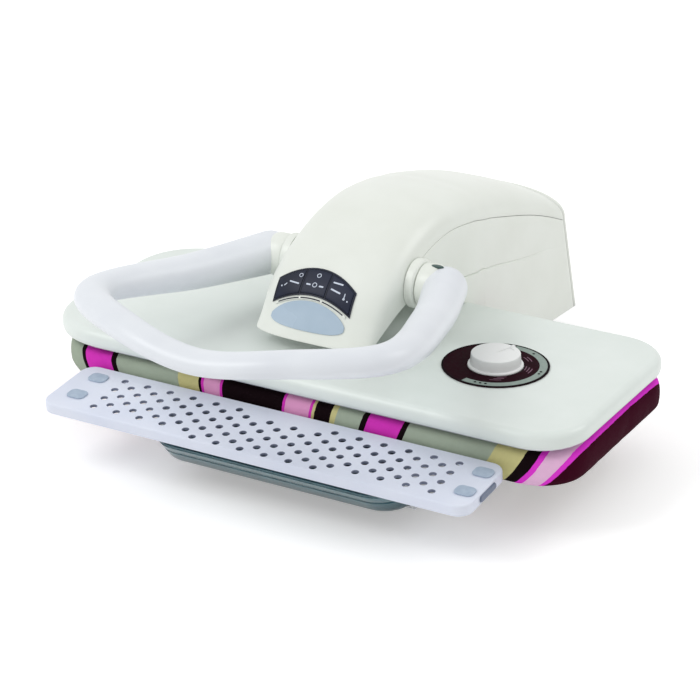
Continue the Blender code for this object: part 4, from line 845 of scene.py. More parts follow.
def dial_print():
    """Printed marks of the dial: a rim line, a pale arc with heat dots and short dashes."""
    ring_radius = (dial_high.x - dial_low.x) / 2
    rim_line = dial_sector(ring_radius - gap, ring_radius * rim_line_share, -178, 178, 120)
    outer, inner = [ring_radius * share for share in pale_arc_shares]
    pale_arc = dial_sector(outer, inner, *pale_arc_span, 96)
    dots = []
    top = dial_top + print_lift + print_depth + print_lift
    for count, angle in heat_dots:
        for k in range(count):
            turn = math.radians(angle + (k - (count - 1) / 2) * heat_dot_spacing)
            centre = (dial_x + ring_radius * heat_dot_share * math.cos(turn),
                      dial_y + ring_radius * heat_dot_share * math.sin(turn))
            outline = [point[:2] for point in circle(heat_dot_radius, 0, 20, centre)]
            dots.append(prism(outline, top, top + print_depth))
    dashes = [dial_sector(ring_radius * outer, ring_radius * inner, angle - dash_half_angle,
                          angle + dash_half_angle, 8) for angle, inner, outer in dial_dash_shares]
    for name, bm, ink in (("rim_line", rim_line, dark_print), ("pale_arc", pale_arc, sage_print),
                          ("heat_dots", joined(dots), dark_print),
                          ("dashes", joined(dashes), pink_print)):
        piece(f"dial_{name}", bm, ink, "arm")


def knob():
    """Turning knob: a flange, a tapered grip with a raised nib and a wedge let into its top."""
    low, top = knob_z, knob_z + knob_height
    flange = low + knob_flange_thickness
    profile = [(knob_bore_radius, low + knob_bore_depth), (knob_bore_radius, low),
               (knob_flange_radius - knob_edge, low)]
    profile += rounded(knob_flange_radius, low + knob_edge, flange, knob_edge)
    profile += [(knob_foot_radius + gap, flange), (knob_foot_radius, flange + gap)]
    profile += rounded(knob_top_radius, flange + 2 * gap, top, knob_edge)[1:]
    centre = (dial_x, dial_y, 0)
    obj = piece("knob", shifted(turned(profile, 96), centre), knob_white, "dial",
                ["dial_knob"])
    spin = Matrix.Translation(centre) @ Matrix.Rotation(knob_pointer_angle, 4, "Z")
    reach = knob_top_radius - knob_wedge_margin
    wedge = prism([(0, 0), (reach * math.cos(knob_wedge_spread), -reach * math.sin(knob_wedge_spread)),
                   (reach, 0)], top - knob_wedge_depth, top + mm)
    wedge.transform(spin)
    cut(obj, "wedge", wedge)
    half = knob_nib_half_width
    corners = rectangle(knob_top_radius - 2 * half, knob_foot_radius, -half, half, knob_nib_edge)
    nib = prism(filleted(corners, 4), flange - mm, top + knob_nib_rise)
    nib.transform(spin)
    soften(piece("knob_nib", nib, knob_white, "dial"), knob_nib_soft_edge)


# Board

cushion_points = 262
widest_level = 7
side_profile = ((1.30, 1.00), (0.86, 0.965), (0.42, 0.88), (0.22, 0.79), (0.10, 0.68), (0.03, 0.56),
                (0.00, 0.44), (0.00, 0.33), (0.02, 0.22), (0.06, 0.13), (0.14, 0.05), (0.27, 0.00),
                (0.45, -0.02), (0.70, -0.02), (1.00, 0.00))


def even_ring(corners, z, distance):
    """An inset outline at a height, with evenly spaced points that start at the middle of the front."""
    points = [Vector((x, y)) for x, y in filleted(inset(corners, distance), 20)]
    middle = Vector(((corners[0][0] + corners[1][0]) / 2, corners[0][1] + distance))
    split = next(i for i, p in enumerate(points) if p.x > middle.x and abs(p.y - middle.y) < gap)
    points = [middle] + points[split:] + points[:split] + [middle]
    lengths = [0.0]
    for a, b in zip(points, points[1:]):
        lengths.append(lengths[-1] + (b - a).length)
    evened = []
    index = 0
    for k in range(cushion_points):
        want = lengths[-1] * k / cushion_points
        while lengths[index + 1] < want:
            index += 1
        share = (want - lengths[index]) / max(lengths[index + 1] - lengths[index], 1e-9)
        p = points[index].lerp(points[index + 1], share)
        evened.append(Vector((p.x, p.y, z)))
    return evened


def cushion_rings():
    """Rings of the padded board from the pocket over its deck, round the side and in over the top."""
    corners = board_corners()
    height = cover_top - cover_bottom
    rings = [even_ring(corners, deck_top + gap, pocket_inset),
             even_ring(corners, cover_bottom + cloth, pocket_inset),
             even_ring(corners, cover_bottom + cloth, hem_inset + hem_width),
             even_ring(corners, cover_bottom, hem_inset + hem_width)]
    for share in hem_shares:
        rings.append(even_ring(corners, cover_bottom, hem_inset + hem_width * share))
    inner = len(rings)
    for side, up in reversed(side_profile):
        rings.append(even_ring(corners, cover_bottom + height * up, mm + hem_inset * side))
    edge = len(rings) - 1
    for distance in between(*cushion_top_insets, 15):
        rings.append(even_ring(corners, cover_top, distance))
    return rings, inner, edge


def laddered(bm):
    """Close both ends of a lofted cushion with rungs from its front to its rear."""
    half = cushion_points // 2
    quarter = half // 2
    bm.verts.ensure_lookup_table()
    for face in [face for face in bm.faces if len(face.verts) > 4]:
        row = sorted(face.verts, key=lambda vert: vert.index)
        bm.faces.remove(face)
        for i in range(quarter):
            bm.faces.new((row[i], row[i + 1], row[half - i - 1], row[half - i]))
            low, high = half + i, (-i) % cushion_points
            bm.faces.new((row[low], row[low + 1], row[high - 1], row[high]))
    bmesh.ops.recalc_face_normals(bm, faces=bm.faces)
    return bm


def flat_places(rings, edge):
    """Where each point lies on the cloth laid flat: the top's own place, and out along the drop."""
    centre_y = y_at(head_depth / 2)
    places = []
    for level, points in enumerate(rings):
        row = []
        for i, point in enumerate(points):
            if level >= edge:
                row.append(point.copy())
                continue
            run = sum((rings[k][i] - rings[k + 1][i]).length for k in range(level, edge))
            out = rings[edge][i] - rings[edge + 1][i]
            out.z = 0
            out.normalize()
            place = rings[edge][i] + out * run
            pull = smooth_step(rings[edge][i].x, *corner_pull_x) * (1 - smooth_step(out.x, 0.0, 0.5))
            if rings[edge][i].y < centre_y:
                place.x += pull * corner_pull_share * max(run - corner_pull_start, 0)
            row.append(place)
        places.append(row)
    return places


def smooth_step(value, low, high):
    """Ease from 0 to 1 between two values."""
    t = min(max((value - low) / (high - low), 0), 1)
    return t * t * (3 - 2 * t)


def fill_cushion(obj, held):
    """Blow the cushion up a little as cloth, hold what is pressed, and limit how far a point moves."""
    group = obj.vertex_groups.new(name="held")
    for index, weight in enumerate(held):
        group.add([index], weight, "REPLACE")
    start = [v.co.copy() for v in obj.data.vertices]
    change = obj.modifiers.new("cloth", "CLOTH")
    settings = change.settings
    settings.quality = 5
    settings.mass = 0.2
    settings.tension_stiffness = 20
    settings.compression_stiffness = 15
    settings.shear_stiffness = 8
    settings.bending_stiffness = 0.3
    settings.shrink_min = -0.03
    settings.use_pressure = True
    settings.uniform_pressure_force = 4
    settings.effector_weights.gravity = 0
    settings.vertex_group_mass = "held"
    scene = bpy.context.scene
    change.point_cache.frame_start = 1
    change.point_cache.frame_end = blown_frames
    for step in range(1, blown_frames + 1):
        scene.frame_set(step)
    view = bpy.context.evaluated_depsgraph_get()
    blown = obj.evaluated_get(view).data
    moved = [v.co.copy() for v in blown.vertices]
    obj.modifiers.clear()
    obj.vertex_groups.clear()
    scene.frame_set(1)
    for vertex, was, now in zip(obj.data.vertices, start, moved):
        step = now - was
        if step.length > blown_limit:
            step = step.normalized() * blown_limit
        vertex.co = was + step


def padded_board():
    """Foam-padded board in its striped cover, drawn in under the deck by a gathered hem."""
    rings, inner, edge = cushion_rings()
    places = flat_places(rings, edge)
    obj = shown("padded_board", laddered(loft(rings)), board_cloth, cloth_smooth_angle)
    held = []
    for level in range(len(rings)):
        held += [0.0 if inner < level < edge + 2 else 1.0] * cushion_points
    fill_cushion(obj, held)
    flat = obj.data.attributes.new("cloth", "FLOAT_VECTOR", "POINT")
    low_level = cover_bottom + 0.5 * (cover_top - cover_bottom)
    for index, vertex in enumerate(obj.data.vertices):
        level, i = divmod(index, cushion_points)
        place = places[level][i]
        flat.data[index].vector = place
        if level < inner:
            continue
        outward = rings[inner + widest_level][i] - rings[-1][i]
        outward.z = 0
        outward.normalize()
        around = i / cushion_points * 2 * math.pi * fold_count
        wander = noise.noise(place * wander_grain)
        fold = math.sin(around + 4 * wander) * (0.6 + 0.4 * noise.noise(place * fold_grain))
        corner = 0.25 + 0.75 * smooth_step(min(abs(outward.x), abs(outward.y)), 0.05, 0.5)
        drop = 1 - smooth_step(vertex.co.z, cover_bottom, low_level)
        if level < edge:
            vertex.co += outward * (fold * fold_height * corner * drop - hem_draw * drop
                                    + wander_height * wander)
        else:
            vertex.co.z -= top_sink * (0.5 + 0.5 * wander)
        vertex.co.z = min(max(vertex.co.z, cover_lowest), cover_top)
        vertex.co.x = min(vertex.co.x, head_half_width)
    fine = obj.modifiers.new("fine", "SUBSURF")
    fine.levels = fine.render_levels = 1
    bake(obj)
    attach(obj, "base")
    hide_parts("board_cover", "board_pad")


# Shelf and tank

def on_shelf(bm):
    """Set a body that was built in the shelf's own plane on the tilted shelf."""
    place = Matrix.Translation((shelf_x, y_at(-shelf_rear_front), shelf_rear_z))
    bm.transform(place @ Matrix.Rotation(shelf_tilt, 4, "X"))
    return bm


def shelf_hole_places():
    """Centres of the shelf's holes: a staggered grid with an arched front and rear edge."""
    middle = 7
    places = []
    for half_steps in range(4 * middle + 1):
        column = half_steps / 2
        if half_steps % 2 == 0:
            rows = [0, 1, 2] if abs(column - middle) < 2 else [0, 1, 2, 3]
        else:
            rows = [-0.5, 0.5, 1.5, 2.5] if abs(column - middle) < 3 else [0.5, 1.5, 2.5]
        for row in rows:
            x = shelf_field_shift + (column - middle) * shelf_pitch_x
            places.append((x, row * shelf_pitch_y - shelf_front_row))
    return places


def shelf():
    """Perforated shelf with a rounded upper edge and countersunk holes."""
    corners = rectangle(-shelf_half_length, shelf_half_length, -shelf_slope_length, 0,
                        shelf_corner_radius)
    rings = [ring(corners, -shelf_thickness, shelf_rim_wall),
             ring(corners, gap - shelf_rim_depth, shelf_rim_wall),
             ring(corners, -shelf_rim_depth, shelf_rim_wall - gap), ring(corners, -shelf_rim_depth, gap),
             ring(corners, gap - shelf_rim_depth)]
    for angle in between(0, math.pi / 2, 5):
        side = shelf_edge * (1 - math.cos(angle))
        rings.append(ring(corners, -shelf_edge * (1 - math.sin(angle)), side))
    obj = piece("perforated_shelf", on_shelf(loft(rings)), shelf_white, "base",
                ["shelf_plate"])
    holes = []
    flare = shelf_hole_radius + shelf_hole_flare
    for x, y in shelf_hole_places():
        profile = [(shelf_hole_radius, -shelf_thickness - mm), (shelf_hole_radius, -shelf_hole_flare),
                   (flare, 0), (flare, mm)]
        holes.append(shifted(turned(profile, 20), (x, y, 0)))
    # The walls of the holes take the painted shade
    cut(obj, "shelf_holes", on_shelf(joined(holes)), painted_hole_shade)
    level_faces(obj)


def shelf_trim():
    """Rubber pads near the ends of the shelf."""
    for side, end in both_sides:
        for slope, depth in zip(shelf_pad_slopes, ("rear", "front")):
            middle = shelf_field_shift + side * shelf_pad_x
            corners = rectangle(middle - shelf_pad_half_width, middle + shelf_pad_half_width,
                                -slope - shelf_pad_half_depth, shelf_pad_half_depth - slope,
                                shelf_pad_radius)
            rings = [ring(corners, gap + up, narrow) for up, narrow in shelf_pad_steps]
            piece(f"{depth}_{end}_pad", on_shelf(loft(rings)), pale_rubber, "base",
                  [f"shelf_pad_{depth}_{end}"])


def tank_ring(height_share, distance, z):
    """Plan outline of the tank at a height; its front leans out towards the top."""
    front = -(tank_front_bottom + (tank_front_top - tank_front_bottom) * height_share)
    left, right = tank_x - tank_half_length, tank_x + tank_half_length
    rear = y_at(tank_rear_back)
    corners = [(left, y_at(front), tank_front_radius), (right, y_at(front), tank_front_radius),
               (right, rear, tank_rear_radius), (left, rear, tank_rear_radius)]
    return ring(corners, z, distance, 12)


def tank():
    """Clear tray with a rounded lower edge, and its lid."""
    soft = tank_edge_radius / tank_height
    rings = []
    for angle in between(0, math.pi / 2, 5):
        up = soft * (1 - math.cos(angle))
        side = tank_edge_radius * (1 - math.sin(angle))
        rings.append(tank_ring(up, side, tank_bottom + tank_height * up))
    top = tank_bottom + tank_height
    for up, side in zip(tank_groove_shares, (0, tank_groove, tank_groove, 0)):
        rings.append(tank_ring(up, side, tank_bottom + tank_height * up))
    rings += [tank_ring(1, 0, top - gap), tank_ring(1, gap, top), tank_ring(1, tank_wall - gap, top),
              tank_ring(1, tank_wall, top - gap)]
    for angle in between(math.pi / 2, 0, 4):
        up = soft * (1 - math.cos(angle))
        side = tank_wall + (tank_edge_radius - tank_wall) * (1 - math.sin(angle))
        rings.append(tank_ring(up, side, tank_bottom + tank_wall + tank_height * up))
    piece("tank_tray", loft(rings), smoky_clear, "tank", ["tank_body"])
    low = top + gap
    high = low + tank_lid_thickness
    lid = [tank_ring(1, gap, low), tank_ring(1, gap, high - gap), tank_ring(1, 2 * gap, high)]
    obj = piece("tank_cover", loft(lid), smoky_clear, "tank", ["tank_lid"])
    hole = turned([(tank_filler_radius, low - mm), (tank_filler_radius, high + mm)], 48)
    cut(obj, "filler", shifted(hole, (tank_filler_x, front_edge - tank_filler_front, 0)))


# Arm

def rib_at(station):
    """Rib of the arm at a station, counted in rows of its table of shares."""
    top_back, top_up, low_back, low_up, seam, foot, crown, crease, step = spline(arm_rib_shares, station)
    top = Vector((arm_x, y_at(arm_start_back + arm_length * top_back), head_top + arm_rise * top_up))
    bottom = Vector((arm_x, y_at(arm_start_back + arm_length * low_back), head_top + arm_rise * low_up))
    return Rib(top, bottom, arm_half_width * seam, arm_half_width * foot, crown_depth * crown, crease,
               crease_step * step)


def rib_point(rib, across, down):
    """Point of a rib's plane, across from the arm's middle and down from its top."""
    point = rib.top + (rib.bottom - rib.top).normalized() * down
    point.x = arm_x + across
    return point


def crown_point(rib, turn):
    """Point of the crowned top at a turn from -1 at the left seam to 1 at the right seam."""
    angle = abs(turn) * math.pi / 2
    across = rib.seam_width * math.sin(angle) ** crown_power
    down = rib.crown * (1 - max(math.cos(angle), 0) ** crown_power)
    return rib_point(rib, math.copysign(across, turn), down)


def side_point(rib, level, side, out=0.0):
    """Point of the side at a level from 0 at the seam to 1 at the lower edge."""
    height = (rib.bottom - rib.top).length - rib.crown
    across = rib.seam_width + (rib.foot_width - rib.seam_width) * level + out
    if level > rib.crease:
        across += rib.crease_step
    return rib_point(rib, side * across, rib.crown + height * level)


def crown_row(rib):
    """Points across the crowned top of a rib, from the left seam to the right one."""
    return [crown_point(rib, 2 * k / crown_columns - 1) for k in range(crown_columns + 1)]


def top_cover():
    """Crowned cover: the whole nose, and the top of the arm behind the knuckles."""
    bm = bmesh.new()
    last = len(arm_rib_shares) - 1
    front = between(0, panel_start_station, 26)
    stations = front + between(panel_start_station, last, 44)[1:]
    rows = [[bm.verts.new(point) for point in crown_row(rib_at(station))] for station in stations]
    skin(bm, rows)
    for side, edge in ((-1, 0), (1, -1)):
        side_rows = []
        for row, station in zip(rows, front):
            lower = [bm.verts.new(side_point(rib_at(station), level / 6, side)) for level in range(1, 7)]
            side_rows.append([row[edge]] + lower)
        skin(bm, side_rows)
    bmesh.ops.recalc_face_normals(bm, faces=bm.faces)
    obj = piece("arm_crown", bm, ivory, "arm", ["arm_top_cover"])
    walled(obj, arm_wall, arm_cover_edge)
    hole = turned([(shaft_hole_radius, -arm_half_width), (shaft_hole_radius, arm_half_width)])
    cut(obj, "shaft_hole", along_x(hole, pivot))
    cut(obj, "key_window", face_patch(-key_half_width, key_half_width, key_low, key_high,
                                      key_window_reach, -key_window_reach, running_gap))
    smooth(obj, cover_smooth_angle)


def side_panels():
    """Two side panels below the seam, with a crease that dies out towards the rear."""
    last = len(arm_rib_shares) - 1
    first = panel_start_station + seam_gap * last / arm_length
    for side, end in both_sides:
        bm = bmesh.new()
        rows = []
        for station in between(first, last, 46):
            rib = rib_at(station)
            below = seam_gap / ((rib.bottom - rib.top).length - rib.crown)
            levels = [(level, 0) for level in between(below, rib.crease * 0.98, 5)]
            levels += [(rib.crease * 0.99, 0), (rib.crease, -crease_groove_share * rib.crease_step)]
            levels += [(rib.crease + (1 - rib.crease) * share, 0)
                       for share in (0.012, 0.03, 0.35, 0.68, 1.0)]
            rows.append([bm.verts.new(side_point(rib, level, side, out)) for level, out in levels])
        skin(bm, rows)
        if side < 0:
            bmesh.ops.reverse_faces(bm, faces=bm.faces)
        obj = piece(f"arm_side_{end}", bm, ivory, "arm", [f"arm_side_panel_{end}"])
        walled(obj, arm_wall, side_panel_edge, even=False)
        smooth(obj, cover_smooth_angle)


def rear_cover():
    """Cover that closes the arm's rear, rounded in at its edge."""
    bm = bmesh.new()
    rib = rib_at(len(arm_rib_shares) - 1)
    rows = []
    for angle in [None, *between(0, math.pi / 2, 7)]:
        straight = rear_cover_straight_share
        run = straight + (1 - straight) * math.sin(angle) if angle is not None else 0
        shrink = rear_cover_inset * (1 - math.cos(angle)) if angle is not None else 0
        back = Vector((0, seam_gap + (rear_cover_depth - seam_gap) * run, 0))
        narrow = rib._replace(top=rib.top + back - Vector((0, 0, shrink)), bottom=rib.bottom + back,
                              seam_width=rib.seam_width - shrink, foot_width=rib.foot_width - shrink)
        left = [side_point(narrow, level, -1) for level in between(1, 0.1, 8)]
        right = [side_point(narrow, level, 1) for level in between(0.1, 1, 8)]
        rows.append([bm.verts.new(point) for point in left + crown_row(narrow) + right])
    skin(bm, rows)
    bm.faces.new(rows[-1])
    bmesh.ops.recalc_face_normals(bm, faces=bm.faces)
    obj = piece("arm_back", bm, ivory, "arm", ["arm_rear_cover"])
    walled(obj, arm_wall)


# Control panel

nose_table = []


def nose_station(length):
    """Station at which the top centre line has run a length from the nose's lower edge."""
    if not nose_table:
        run, here = 0.0, rib_at(0).top
        for k in range(200):
            station = k / 40
            ahead = rib_at(station).top
            run += (ahead - here).length
            nose_table.append((run, station))
            here = ahead
    for (before, low), (after, high) in zip(nose_table, nose_table[1:]):
        if after >= length:
            return low + (high - low) * (length - before) / max(after - before, 1e-9)
    return nose_table[-1][1]


def face_out():
    """Direction out of the nose's face."""
    up = (rib_at(2).top - rib_at(0).top).normalized()
    return Vector((0, -up.z, up.y))


def face_point(across, length, proud):
    """Point over the nose's skin, across from the arm's middle and along its centre line."""
    rib = rib_at(nose_station(length))
    sine = min(abs(across) / rib.seam_width, 1) ** (1 / crown_power)
    down = rib.crown * (1 - math.sqrt(1 - sine ** 2) ** crown_power)
    return rib_point(rib, across, down) + face_out() * proud


def key_high(across):
    """Upper edge of the keys."""
    return key_top - key_top_sag * (across / key_half_width) ** 2


def key_low(across):
    """Lower edge of the keys."""
    return key_bottom - key_bottom_sag * (across / key_half_width) ** 2


def strip_high(across):
    """Upper edge of the strip under the keys."""
    return key_low(across) - strip_spacing - bezel_border


def strip_low(across):
    """Lower edge of the strip under the keys."""
    return strip_high(across) - strip_height


def window_high(across):
    """Upper edge of the windows of the lights in the strip."""
    return strip_high(across) - light_window_margin


def window_low(across):
    """Lower edge of the windows of the lights in the strip."""
    return strip_low(across) + light_window_margin


def label_middle(across):
    """Middle line of the label plate."""
    return (strip_low(across) - strip_spacing + label_bottom) / 2


def label_half(across):
    """Half-height of the label plate, rounded off towards its ends."""
    share = abs(across / label_half_width)
    full = strip_low(across) - strip_spacing - label_bottom + label_bottom_sag * share ** 2
    return full / 2 * math.sqrt(1 - share ** label_corner_power)


def label_high(across):
    """Upper edge of the label plate."""
    return label_middle(across) + label_half(across)


def label_low(across):
    """Lower edge of the label plate."""
    return label_middle(across) - label_half(across)


def face_patch(left, right, low, high, proud, deep, grow=0.0, columns=20, rows=6):
    """Slab on the nose's skin between two edges that are functions of the place across."""
    rings = []
    for across in between(left - grow, right + grow, columns):
        lengths = between(low(across) - grow, high(across) + grow, rows)
        front = [face_point(across + panel_shift, length, proud) for length in lengths]
        rear = [face_point(across + panel_shift, length, deep) for length in lengths]
        rings.append(front + rear[::-1])
    return loft(rings)


def key_ring(x, length, outer, inner):
    """Thin printed ring on a key."""
    low = key_proud + print_lift
    rings = []
    for radius, height in ((outer, 0), (outer, print_depth), (inner, print_depth), (inner, 0)):
        rings.append([face_point(x + panel_shift + radius * math.cos(a), length + radius * math.sin(a),
                                 low + height) for a in between(0, 2 * math.pi, 28)[:-1]])
    return loft(rings, closed=True)


def key_bar(x, length, half_long, half_high, turn):
    """Thin printed bar on a key, turned by an angle in degrees."""
    angle = math.radians(turn)
    low = key_proud + print_lift
    rings = [[], []]
    for a, b in filleted(rectangle(-half_long, half_long, -half_high, half_high, half_high * 0.6), 3):
        across = x + a * math.cos(angle) - b * math.sin(angle)
        along = length + a * math.sin(angle) + b * math.cos(angle)
        for points, height in zip(rings, (low, low + print_depth)):
            points.append(face_point(across + panel_shift, along, height))
    return loft(rings)


def key_spans():
    """Name, left and right edge of each key."""
    edges = [-1, *key_divider_shares, 1]
    half = key_divider_width / 2
    spans = []
    for name, left, right in zip(("left", "middle", "right"), edges, edges[1:]):
        start = left * key_half_width + (half if left > -1 else 0)
        end = right * key_half_width - (half if right < 1 else 0)
        spans.append((name, start, end))
    return spans


def key_marks(name):
    """Printed symbols of a key: rings, bars and dots."""
    marks = []
    for x, length, first, second, *turn in key_symbols[name]:
        shape = key_bar if turn else key_ring
        marks.append(shape(x * mm, length * mm, first * mm, second * mm, *turn))
    return joined(marks)


def control_panel():
    """Bezel, three keys with their symbols, the strip of lights and the label plate."""
    plate = face_patch(-key_half_width, key_half_width, key_low, key_high, bezel_proud, seat_on_skin,
                       bezel_border, 36)
    bezel = piece("panel_bezel", plate, dark_cap, "arm", ["control_bezel"])
    for name, left, right in key_spans():
        cut(bezel, "window", face_patch(left, right, key_low, key_high, bezel_window_reach,
                                        -bezel_window_reach))
        body = face_patch(left, right, key_low, key_high, key_proud, -key_depth, -running_gap, 14, 8)
        key = piece(f"{name}_key", body, key_plastic, f"key_{name}", [f"key_{name}"])
        soften(key, key_edge, 3)
        smooth(key, cover_smooth_angle)
        piece(f"{name}_key_marks", key_marks(name), white_print, f"key_{name}")
    soften(bezel, plate_edge)
    reach = label_half_width * label_end_share
    plate = face_patch(-reach, reach, label_low, label_high, bezel_proud, seat_on_skin, 0, 48)
    soften(piece("nose_label", plate, label_blue, "arm", ["label_plate"]), plate_edge)
    reach = key_half_width - strip_height
    plate = face_patch(-reach, reach, strip_low, strip_high, bezel_proud, seat_on_skin, 0, 30, 3)
    soften(piece("light_strip", plate, ivory, "arm", ["indicator_strip"]), plate_edge)
    low = bezel_proud + print_lift
    windows = [face_patch(start * reach, end * reach, window_low, window_high, low + print_depth, low,
                          0, 14, 2) for start, end in light_window_shares]
    piece("light_windows", joined(windows), dark_cap, "arm")


# Handle

def section(centre, along, wide, high):
    """Oval ring of the handle, level across and square to its run."""
    across = Vector((-along.y, along.x, 0)).normalized()
    lift = along.cross(across)
    return [centre + across * wide * math.cos(a) + lift * high * math.sin(a)
            for a in between(0, 2 * math.pi, handle_sides)[:-1]]


def handle():
    """Thick loop that runs from knuckle to knuckle round the front of the nose."""
    run = handle_pivot_back + handle_front
    half = [(handle_half_span * across, handle_pivot_back - run * forward,
             handle_pivot_up + handle_climb * up, handle_section * wide, handle_section * high)
            for across, forward, up, wide, high in handle_shares]
    rows = half + [(-row[0], *row[1:]) for row in half[-2::-1]]
    count = (len(rows) - 1) * 14
    samples = [spline(rows, (len(rows) - 1) * k / count) for k in range(count + 1)]
    centres = [Vector((arm_x + x, y_at(back), head_top + up)) for x, back, up, wide, high in samples]
    near, far = handle_end_turns
    rings = []
    for i, (x, back, up, wide, high) in enumerate(samples):
        along = (centres[min(i + 1, count)] - centres[max(i - 1, 0)]).normalized()
        turns = [0]
        if i == 0:
            turns = [-turn for turn in between(far, near, 6)] + turns
        if i == count:
            turns += between(near, far, 6)
        for turn in turns:
            rings.append(section(centres[i] + along * high * math.sin(turn), along,
                                 wide * math.cos(turn), high * math.cos(turn)))
    obj = piece("carrying_loop", loft(rings), handle_white, "handle", ["handle_loop"])
    start = knuckle_end - shaft_bore_start
    end = knuckle_end + shaft_bore_depth + gap
    bores = [turned([(shaft_hole_radius, side * start), (shaft_hole_radius, side * end)])
             for side, _ in both_sides]
    cut(obj, "shaft_bores", joined([along_x(bore, pivot) for bore in bores]))
    smooth(obj, cover_smooth_angle)


def knuckles():
    """Bosses on the arm's sides that carry the handle's shaft."""
    profile = [(shaft_hole_radius, 0), *rounded(knuckle_radius, 0, knuckle_length, knuckle_edge, 6),
               (shaft_hole_radius, knuckle_length)]
    for side, end in both_sides:
        start = (arm_x + side * (arm_side + running_gap), pivot.y, pivot.z)
        piece(f"knuckle_{end}", along_x(bored(profile, side), start), ivory, "arm",
              [f"handle_knuckle_{end}"])


def collars():
    """Ivory drums that close the loop's ball ends towards the knuckles and turn with the loop."""
    reach = handle_half_span * handle_shares[0][0]
    start = knuckle_end + gap
    ball = collar_radius
    profile = [(shaft_hole_radius, start), (ball - collar_edge, start),
               (ball - collar_soft_edge, start + collar_soft_edge), (ball, start + collar_edge)]
    for angle in between(0, collar_turn, 10):
        profile.append((ball * math.cos(angle),
                        reach - collar_setback + ball * math.sin(angle) * collar_flat_share))
    profile.append((shaft_hole_radius, profile[-1][1]))
    for side, end in both_sides:
        piece(f"handle_collar_{end}", along_x(bored(profile, side), pivot), ivory, "handle")


def lens_mark():
    """Dark green oval lens let into the top of the loop's right ball end."""
    reach = handle_half_span * handle_shares[0][0]
    out = Vector((0, -lens_mark_dip, 1)).normalized()
    centre = Vector((arm_x + reach - lens_mark_in, pivot.y, pivot.z))
    centre += out * (collar_radius - lens_mark_sink)
    rings = []
    for up, share in lens_mark_steps:
        rings.append([(x * lens_mark_half_length * share, y * lens_mark_half_height * share, up)
                      for x, y, _ in circle(1, 0, 40)])
    bm = loft(rings)
    bm.transform(Matrix.Translation(centre) @ out.to_track_quat("Z", "Y").to_matrix().to_4x4())
    piece("handle_lens", bm, lens_green, "handle")


# Carried-over solids

carried = (
    (cast_plate, "heating_plate"),
    (die_cast, "head_hanger"),
    (bright_steel, "heating_element thermostat handle_shaft pressure_cam arm_frame hinge_bracket_left "
                   "hinge_bracket_right hinge_shaft torsion_spring_left torsion_spring_right"),
    (bearing_brass, "hinge_bush_left hinge_bush_right"),
    (white_felt, "insulation"),
    (board_wood, "board_deck"),
    (laminate, "control_board"),
    (maroon_print, "dial_ring"),
    (ivory, "arm_bottom_cover"),
    (base_grey, "base_chassis base_bottom_plate shelf_rail_left shelf_rail_right"),
    (dark_cap, "pump tank_cap"),
    (slate_lens, "shelf_lens_left shelf_lens_right"),
    (black_rubber, "cord_inlet water_socket key_mat foot_front_left foot_front_right foot_middle_left "
                   "foot_middle_right foot_rear_left foot_rear_right"),
)


def finish_solids():
    """Give each carried-over solid its finish, and shade it smooth up to its sharp edges."""
    for finish, names in carried:
        for name in names.split():
            obj = frame["nodes"][name]
            for holder in obj.material_slots:
                holder.material = finish
            if "custom_normal" in obj.data.attributes:
                obj.data.attributes.remove(obj.data.attributes["custom_normal"])
            obj.data.shade_smooth()
            weld = obj.modifiers.new("weld", "WELD")
            weld.merge_threshold = 0.01 * mm
            split = obj.modifiers.new("split", "EDGE_SPLIT")
            split.split_angle = math.radians(smooth_angle)


# Studio

def seen_rays(tree):
    """1 for the rays that show a background: straight from the camera, mirrored or passed through."""
    rays = add(tree, "ShaderNodeLightPath")
    seen = add(tree, "ShaderNodeMath", {0: rays.outputs["Is Camera Ray"],
                                        1: rays.outputs["Is Glossy Ray"]}, operation="MAXIMUM")
    return add(tree, "ShaderNodeMath", {0: seen.outputs[0], 1: rays.outputs["Is Transmission Ray"]},
               operation="MAXIMUM").outputs[0]


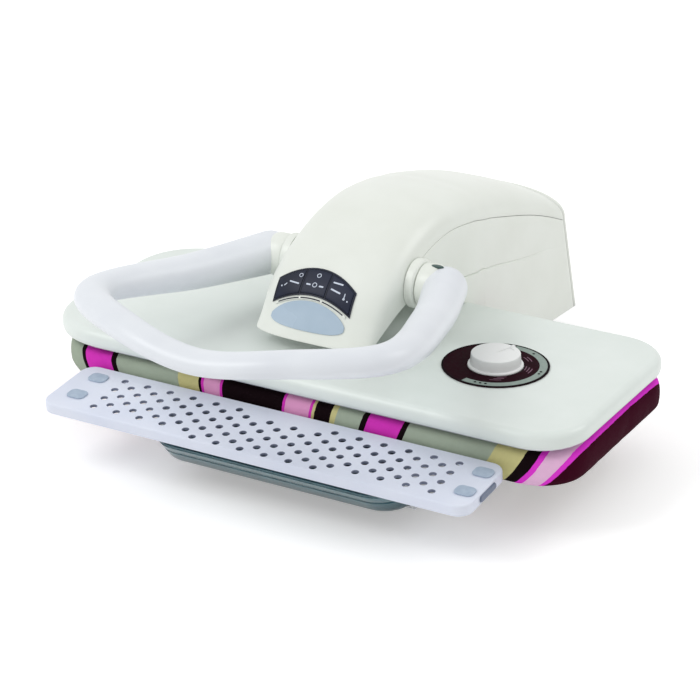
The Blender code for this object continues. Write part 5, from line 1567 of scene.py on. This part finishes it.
def studio():
    """Pale floor, a light all round, two large soft lamps and the camera."""
    # Rolled paper: a plain near-white with faint broad clouds, which keeps the shadow
    floor_mat = textured("pale_studio_floor", "f7f7f7", "fcfcfc", (floor_cloud, 2), roughness=0.9,
                         emission_color=(1, 1, 1, 1))
    tree = floor_mat.node_tree
    glow = add(tree, "ShaderNodeMath", {0: seen_rays(tree), 1: floor_glow}, operation="MULTIPLY")
    tree.links.new(glow.outputs[0], tree.nodes["Principled BSDF"].inputs["Emission Strength"])
    bm = bmesh.new()
    corners = [(-floor_half, -floor_half, 0), (floor_half, -floor_half, 0), (floor_half, floor_half, 0),
               (-floor_half, floor_half, 0)]
    bm.faces.new([bm.verts.new(corner) for corner in corners])
    shown("studio_floor", bm, floor_mat)

    world = bpy.data.worlds.new("studio")
    world.use_nodes = True
    bpy.context.scene.world = world
    tree = world.node_tree
    back = tree.nodes["Background"]
    level = add(tree, "ShaderNodeMapRange", {"Value": seen_rays(tree), "To Min": world_level,
                                             "To Max": 1.0})
    back.inputs["Color"].default_value = (1, 1, 1, 1)
    tree.links.new(level.outputs["Result"], back.inputs["Strength"])

    for name, place, size, power in lamps:
        light = bpy.data.lights.new(name, "AREA")
        light.shape = "DISK"
        light.size = size
        light.energy = power
        lamp = bpy.data.objects.new(name, light)
        lamp.location = place
        lamp.rotation_euler = (Vector(place) - lamp_aim).to_track_quat("Z", "Y").to_euler()
        bpy.context.scene.collection.objects.link(lamp)

    camera = bpy.data.cameras.new("camera")
    camera.lens = camera_lens
    camera.sensor_width = sensor_width
    camera.clip_end = clip_end
    eye = bpy.data.objects.new("camera", camera)
    eye.location = camera_place
    eye.rotation_euler = (math.pi / 2 - camera_dip, 0, camera_turn)
    bpy.context.scene.collection.objects.link(eye)
    bpy.context.scene.camera = eye
    bpy.context.scene.view_settings.view_transform = "Standard"


studio()
head_cover()
dial_print()
knob()
padded_board()
shelf()
shelf_trim()
tank()
top_cover()
side_panels()
rear_cover()
control_panel()
handle()
knuckles()
collars()
lens_mark()
finish_solids()
